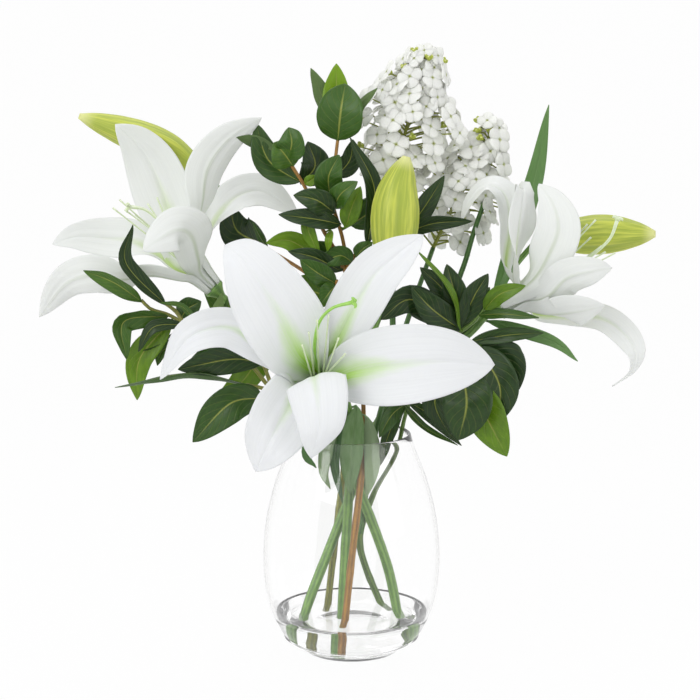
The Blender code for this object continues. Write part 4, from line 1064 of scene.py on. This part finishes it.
def makeLilacMaterial():
    material, s, shader = newMaterial("lilacPetal")
    parts = s.add("ShaderNodeSeparateXYZ", _0=s.uv()).outputs
    grain = s.add("ShaderNodeTexNoise", _0=s.uv(), Scale=9.0, Detail=3.0)
    white = s.mix(s.ramp(grain.outputs[0], 0.3, 0.7), (0.91, 0.92, 0.86, 1), (0.96, 0.97, 0.93, 1))
    centre = s.ramp(parts[1], 0.0, 0.14, 0.8, 0.0)
    s.feed(shader, "Base_Color", s.mix(centre, white, (0.50, 0.58, 0.14, 1)))
    bump = s.add("ShaderNodeBump", Strength=0.3, Distance=0.0005, Height=grain.outputs[0])
    s.feed(shader, "Normal", bump.outputs[0])
    shader.inputs["Roughness"].default_value = 0.55
    shader.inputs["Subsurface Weight"].default_value = 0.4
    shader.inputs["Subsurface Radius"].default_value = (1.0, 1.0, 0.9)
    shader.inputs["Subsurface Scale"].default_value = 0.005
    return material


def floretShape(centre, outward, size, spin, rng):
    a = unit(np.cross(outward, (0.36, 0.48, 0.8)))
    b = np.cross(outward, a)
    rows = 6
    parts = []
    for k in range(4):
        turn = spin + math.pi * k / 2 + rng.uniform(-0.12, 0.12)
        radial = a * math.cos(turn) + b * math.sin(turn)
        side = -a * math.sin(turn) + b * math.cos(turn)
        droop = rng.uniform(-0.9, 0.5)
        s = np.linspace(0.06, 1.0, rows)
        lift = 0.9 * np.sin(math.pi * 0.6 * s) * floret["cup"] + droop * s ** 2
        path = centre + np.outer(s * size, radial) * mm + np.outer(lift, outward) * mm
        half = size * 0.58 * np.array([0.26, 0.56, 0.88, 1.0, 0.88, 0.42]) * mm
        cups = np.full(rows, 0.45)
        parts.append(sheetShape(path, np.tile(side, (rows, 1)), half, cups, cups, 0.35 * mm, 6, {}))
    return parts


def makePanicle(name, plan, petal, seed):
    rng = np.random.default_rng(seed)
    spine = smoothPath([place(p) for p in plan["axis"]], 40)
    t = directions(spine)
    spread = np.interp(np.linspace(0, 1, 40), np.linspace(0, 1, len(plan["spread"])), plan["spread"]) * mm
    golden = math.pi * (3 - math.sqrt(5))
    flowers, twigs, tips = [], [barShape(spine, np.linspace(1.4, 0.7, 40) * mm, 10)], []
    total = plan["florets"] + plan["buds"]
    for n in range(total):
        share = (n + 0.5) / total
        where = share * 39
        i = min(38, int(where))
        centre = spine[i] + (spine[i + 1] - spine[i]) * (where - i)
        a = unit(np.cross(t[i], (0.2, 1.0, 0.1)))
        b = np.cross(t[i], a)
        out = unit(math.cos(n * golden) * a + math.sin(n * golden) * b + 0.35 * t[i])
        reach = spread[i] * (0.98 - 0.30 * ((n * 7) % 10) / 10) * rng.uniform(0.80, 1.08)
        out = out * (1, floret["depth"], 1)
        end = centre + out * reach
        facing = unit(out + 0.35 * np.array([rng.uniform(-1, 1), rng.uniform(-1.9, -0.1),
            rng.uniform(-0.2, 1.4)]))
        bud = share > 1 - plan["buds"] / total * 0.6 and n % 2 == 0 or n % 11 == 5
        stem = smoothPath([centre - out * 0.5 * mm, centre + out * reach * 0.5 + t[i] * 1.5 * mm,
                           end - facing * 2.0 * mm], 8)
        twigs.append(barShape(stem, np.linspace(0.75, 0.5, 8) * mm, 6))
        if bud:
            for k in range(3):
                lean = unit(facing + 0.5 * np.array([math.cos(2.1 * k + n), math.sin(2.1 * k + n), 0.3]))
                foot = end - facing * 2.0 * mm
                line = np.array([foot, foot + lean * 1.6 * mm, foot + lean * 3.2 * mm,
                                 foot + lean * 4.6 * mm, foot + lean * 5.4 * mm])
                tips.append(barShape(line, np.array([0.45, 0.9, 1.5, 1.25, 0.4]) * mm, 10))
        else:
            throat = np.array([end - facing * 2.2 * mm, end - facing * 1.0 * mm, end])
            twigs.append(barShape(throat, np.array([0.55, 0.6, 0.75]) * mm, 8))
            size = floret["size"] * rng.uniform(0.85, 1.12) * (0.78 if share > 0.9 else 1)
            flowers += floretShape(end, facing, size, n * 0.7, rng)
    addPiece(f"{name}PanicleFlorets", flowers, petal, "lilac_spray")
    addPiece(f"{name}PanicleTwigs", twigs, stalks["lilacTwig"], "lilac_spray")
    addPiece(f"{name}PanicleBuds", tips, budMaterial, "lilac_spray")


def makeLilac():
    paths, shapes = [], []
    for i, stem in enumerate(lilacStems):
        points = [place(p) for p in stem]
        if i:
            points[0] = nearest(points[0], paths)
        path = smoothPath(points, 60)
        shapes.append(barShape(path, np.linspace(2.2, 1.6, 60) * mm, 16))
        paths.append(path)
    addPiece("lilacStem", shapes, stalks["lilacStem"], "lilac_spray")
    petal = makeLilacMaterial()
    for seed, (name, plan) in enumerate(panicles.items()):
        makePanicle(name, plan, petal, 11 + seed)


makeLilac()
print("scene: lilac made")


# ---- floor, backdrop, light and camera ----

studio = {"sky": 0.62, "key": 9.0, "fill": 3.5, "back": 3.0, "floorGlow": 0.95}


def isSeen(s):  # 1 for what the eye sees directly, in gloss or through glass
    path = s.add("ShaderNodeLightPath").outputs
    seen = s.math("MAXIMUM", path["Is Camera Ray"], path["Is Glossy Ray"])
    return s.math("MAXIMUM", seen, path["Is Transmission Ray"])


def makeFloor():
    profile = [(-1.6, 0.0), (0.9, 0.0)]
    profile += [(0.9 + 0.6 * math.sin(a), 0.6 - 0.6 * math.cos(a)) for a in np.linspace(0, math.pi / 2,
        17)[1:]]
    profile += [(1.5, 2.6)]
    vertices = [(x, y, z - 0.0003) for y, z in profile for x in (-2.6, 2.6)]
    faces = [(2 * i, 2 * i + 1, 2 * i + 3, 2 * i + 2) for i in range(len(profile) - 1)]
    mesh = bpy.data.meshes.new("sweep")
    mesh.from_pydata(vertices, [], faces)
    mesh.shade_smooth()
    sweep = bpy.data.objects.new("sweep", mesh)
    scene.collection.objects.link(sweep)
    material, s, shader = newMaterial("paleSweep")
    shader.inputs["Base Color"].default_value = (0.9, 0.9, 0.9, 1)
    shader.inputs["Roughness"].default_value = 0.9
    grain = s.add("ShaderNodeTexNoise", Scale=40.0)
    s.feed(shader, "Roughness", s.ramp(grain.outputs[0], 0.0, 1.0, 0.8, 0.95))
    glow = s.add("ShaderNodeEmission", _0=(1, 1, 1, 1), _1=1.0)
    amount = s.math("MULTIPLY", isSeen(s), studio["floorGlow"])
    mixed = s.add("ShaderNodeMixShader", _0=amount, _1=shader.outputs[0], _2=glow.outputs[0])
    s.tree.links.new(mixed.outputs[0], s.tree.nodes["Material Output"].inputs["Surface"])
    mesh.materials.append(material)


def makeWorld():
    world = bpy.data.worlds.new("studio")
    world.use_nodes = True
    s = NodeSheet(world.node_tree)
    background = world.node_tree.nodes["Background"]
    background.inputs["Color"].default_value = (1, 1, 1, 1)
    strength = s.math("MULTIPLY_ADD", isSeen(s), 1.0 - studio["sky"], studio["sky"])
    s.feed(background, "Strength", strength)
    scene.world = world


def addLamp(name, energy, size, spot, aim):
    lamp = bpy.data.lights.new(name, "AREA")
    lamp.shape = "RECTANGLE"
    lamp.size, lamp.size_y = size
    lamp.energy = energy
    thing = bpy.data.objects.new(name, lamp)
    thing.location = spot
    way = np.array(aim) - np.array(spot)
    flat = math.hypot(way[0], way[1])
    thing.rotation_euler = (math.atan2(flat, -way[2]), 0, math.atan2(way[1], way[0]) - math.pi / 2)
    scene.collection.objects.link(thing)


def makeCamera():
    camera = bpy.data.objects.new("camera", bpy.data.cameras.new("camera"))
    camera.data.lens = 95
    camera.data.sensor_width = 36
    camera.location = (-0.001, -1.2223, 0.401)
    camera.rotation_euler = (math.radians(81), 0, 0)
    scene.collection.objects.link(camera)
    scene.camera = camera


makeFloor()
makeWorld()
addLamp("key", studio["key"], (0.9, 1.1), (-0.75, -0.95, 1.05), (0, 0, 0.25))
addLamp("fill", studio["fill"], (0.8, 1.0), (1.1, -0.75, 0.6), (0, 0, 0.2))
addLamp("top", studio["back"], (1.0, 0.6), (0.1, 0.35, 1.3), (0, 0, 0.2))
makeCamera()
scene.view_settings.view_transform = "Standard"

print("scene: done")
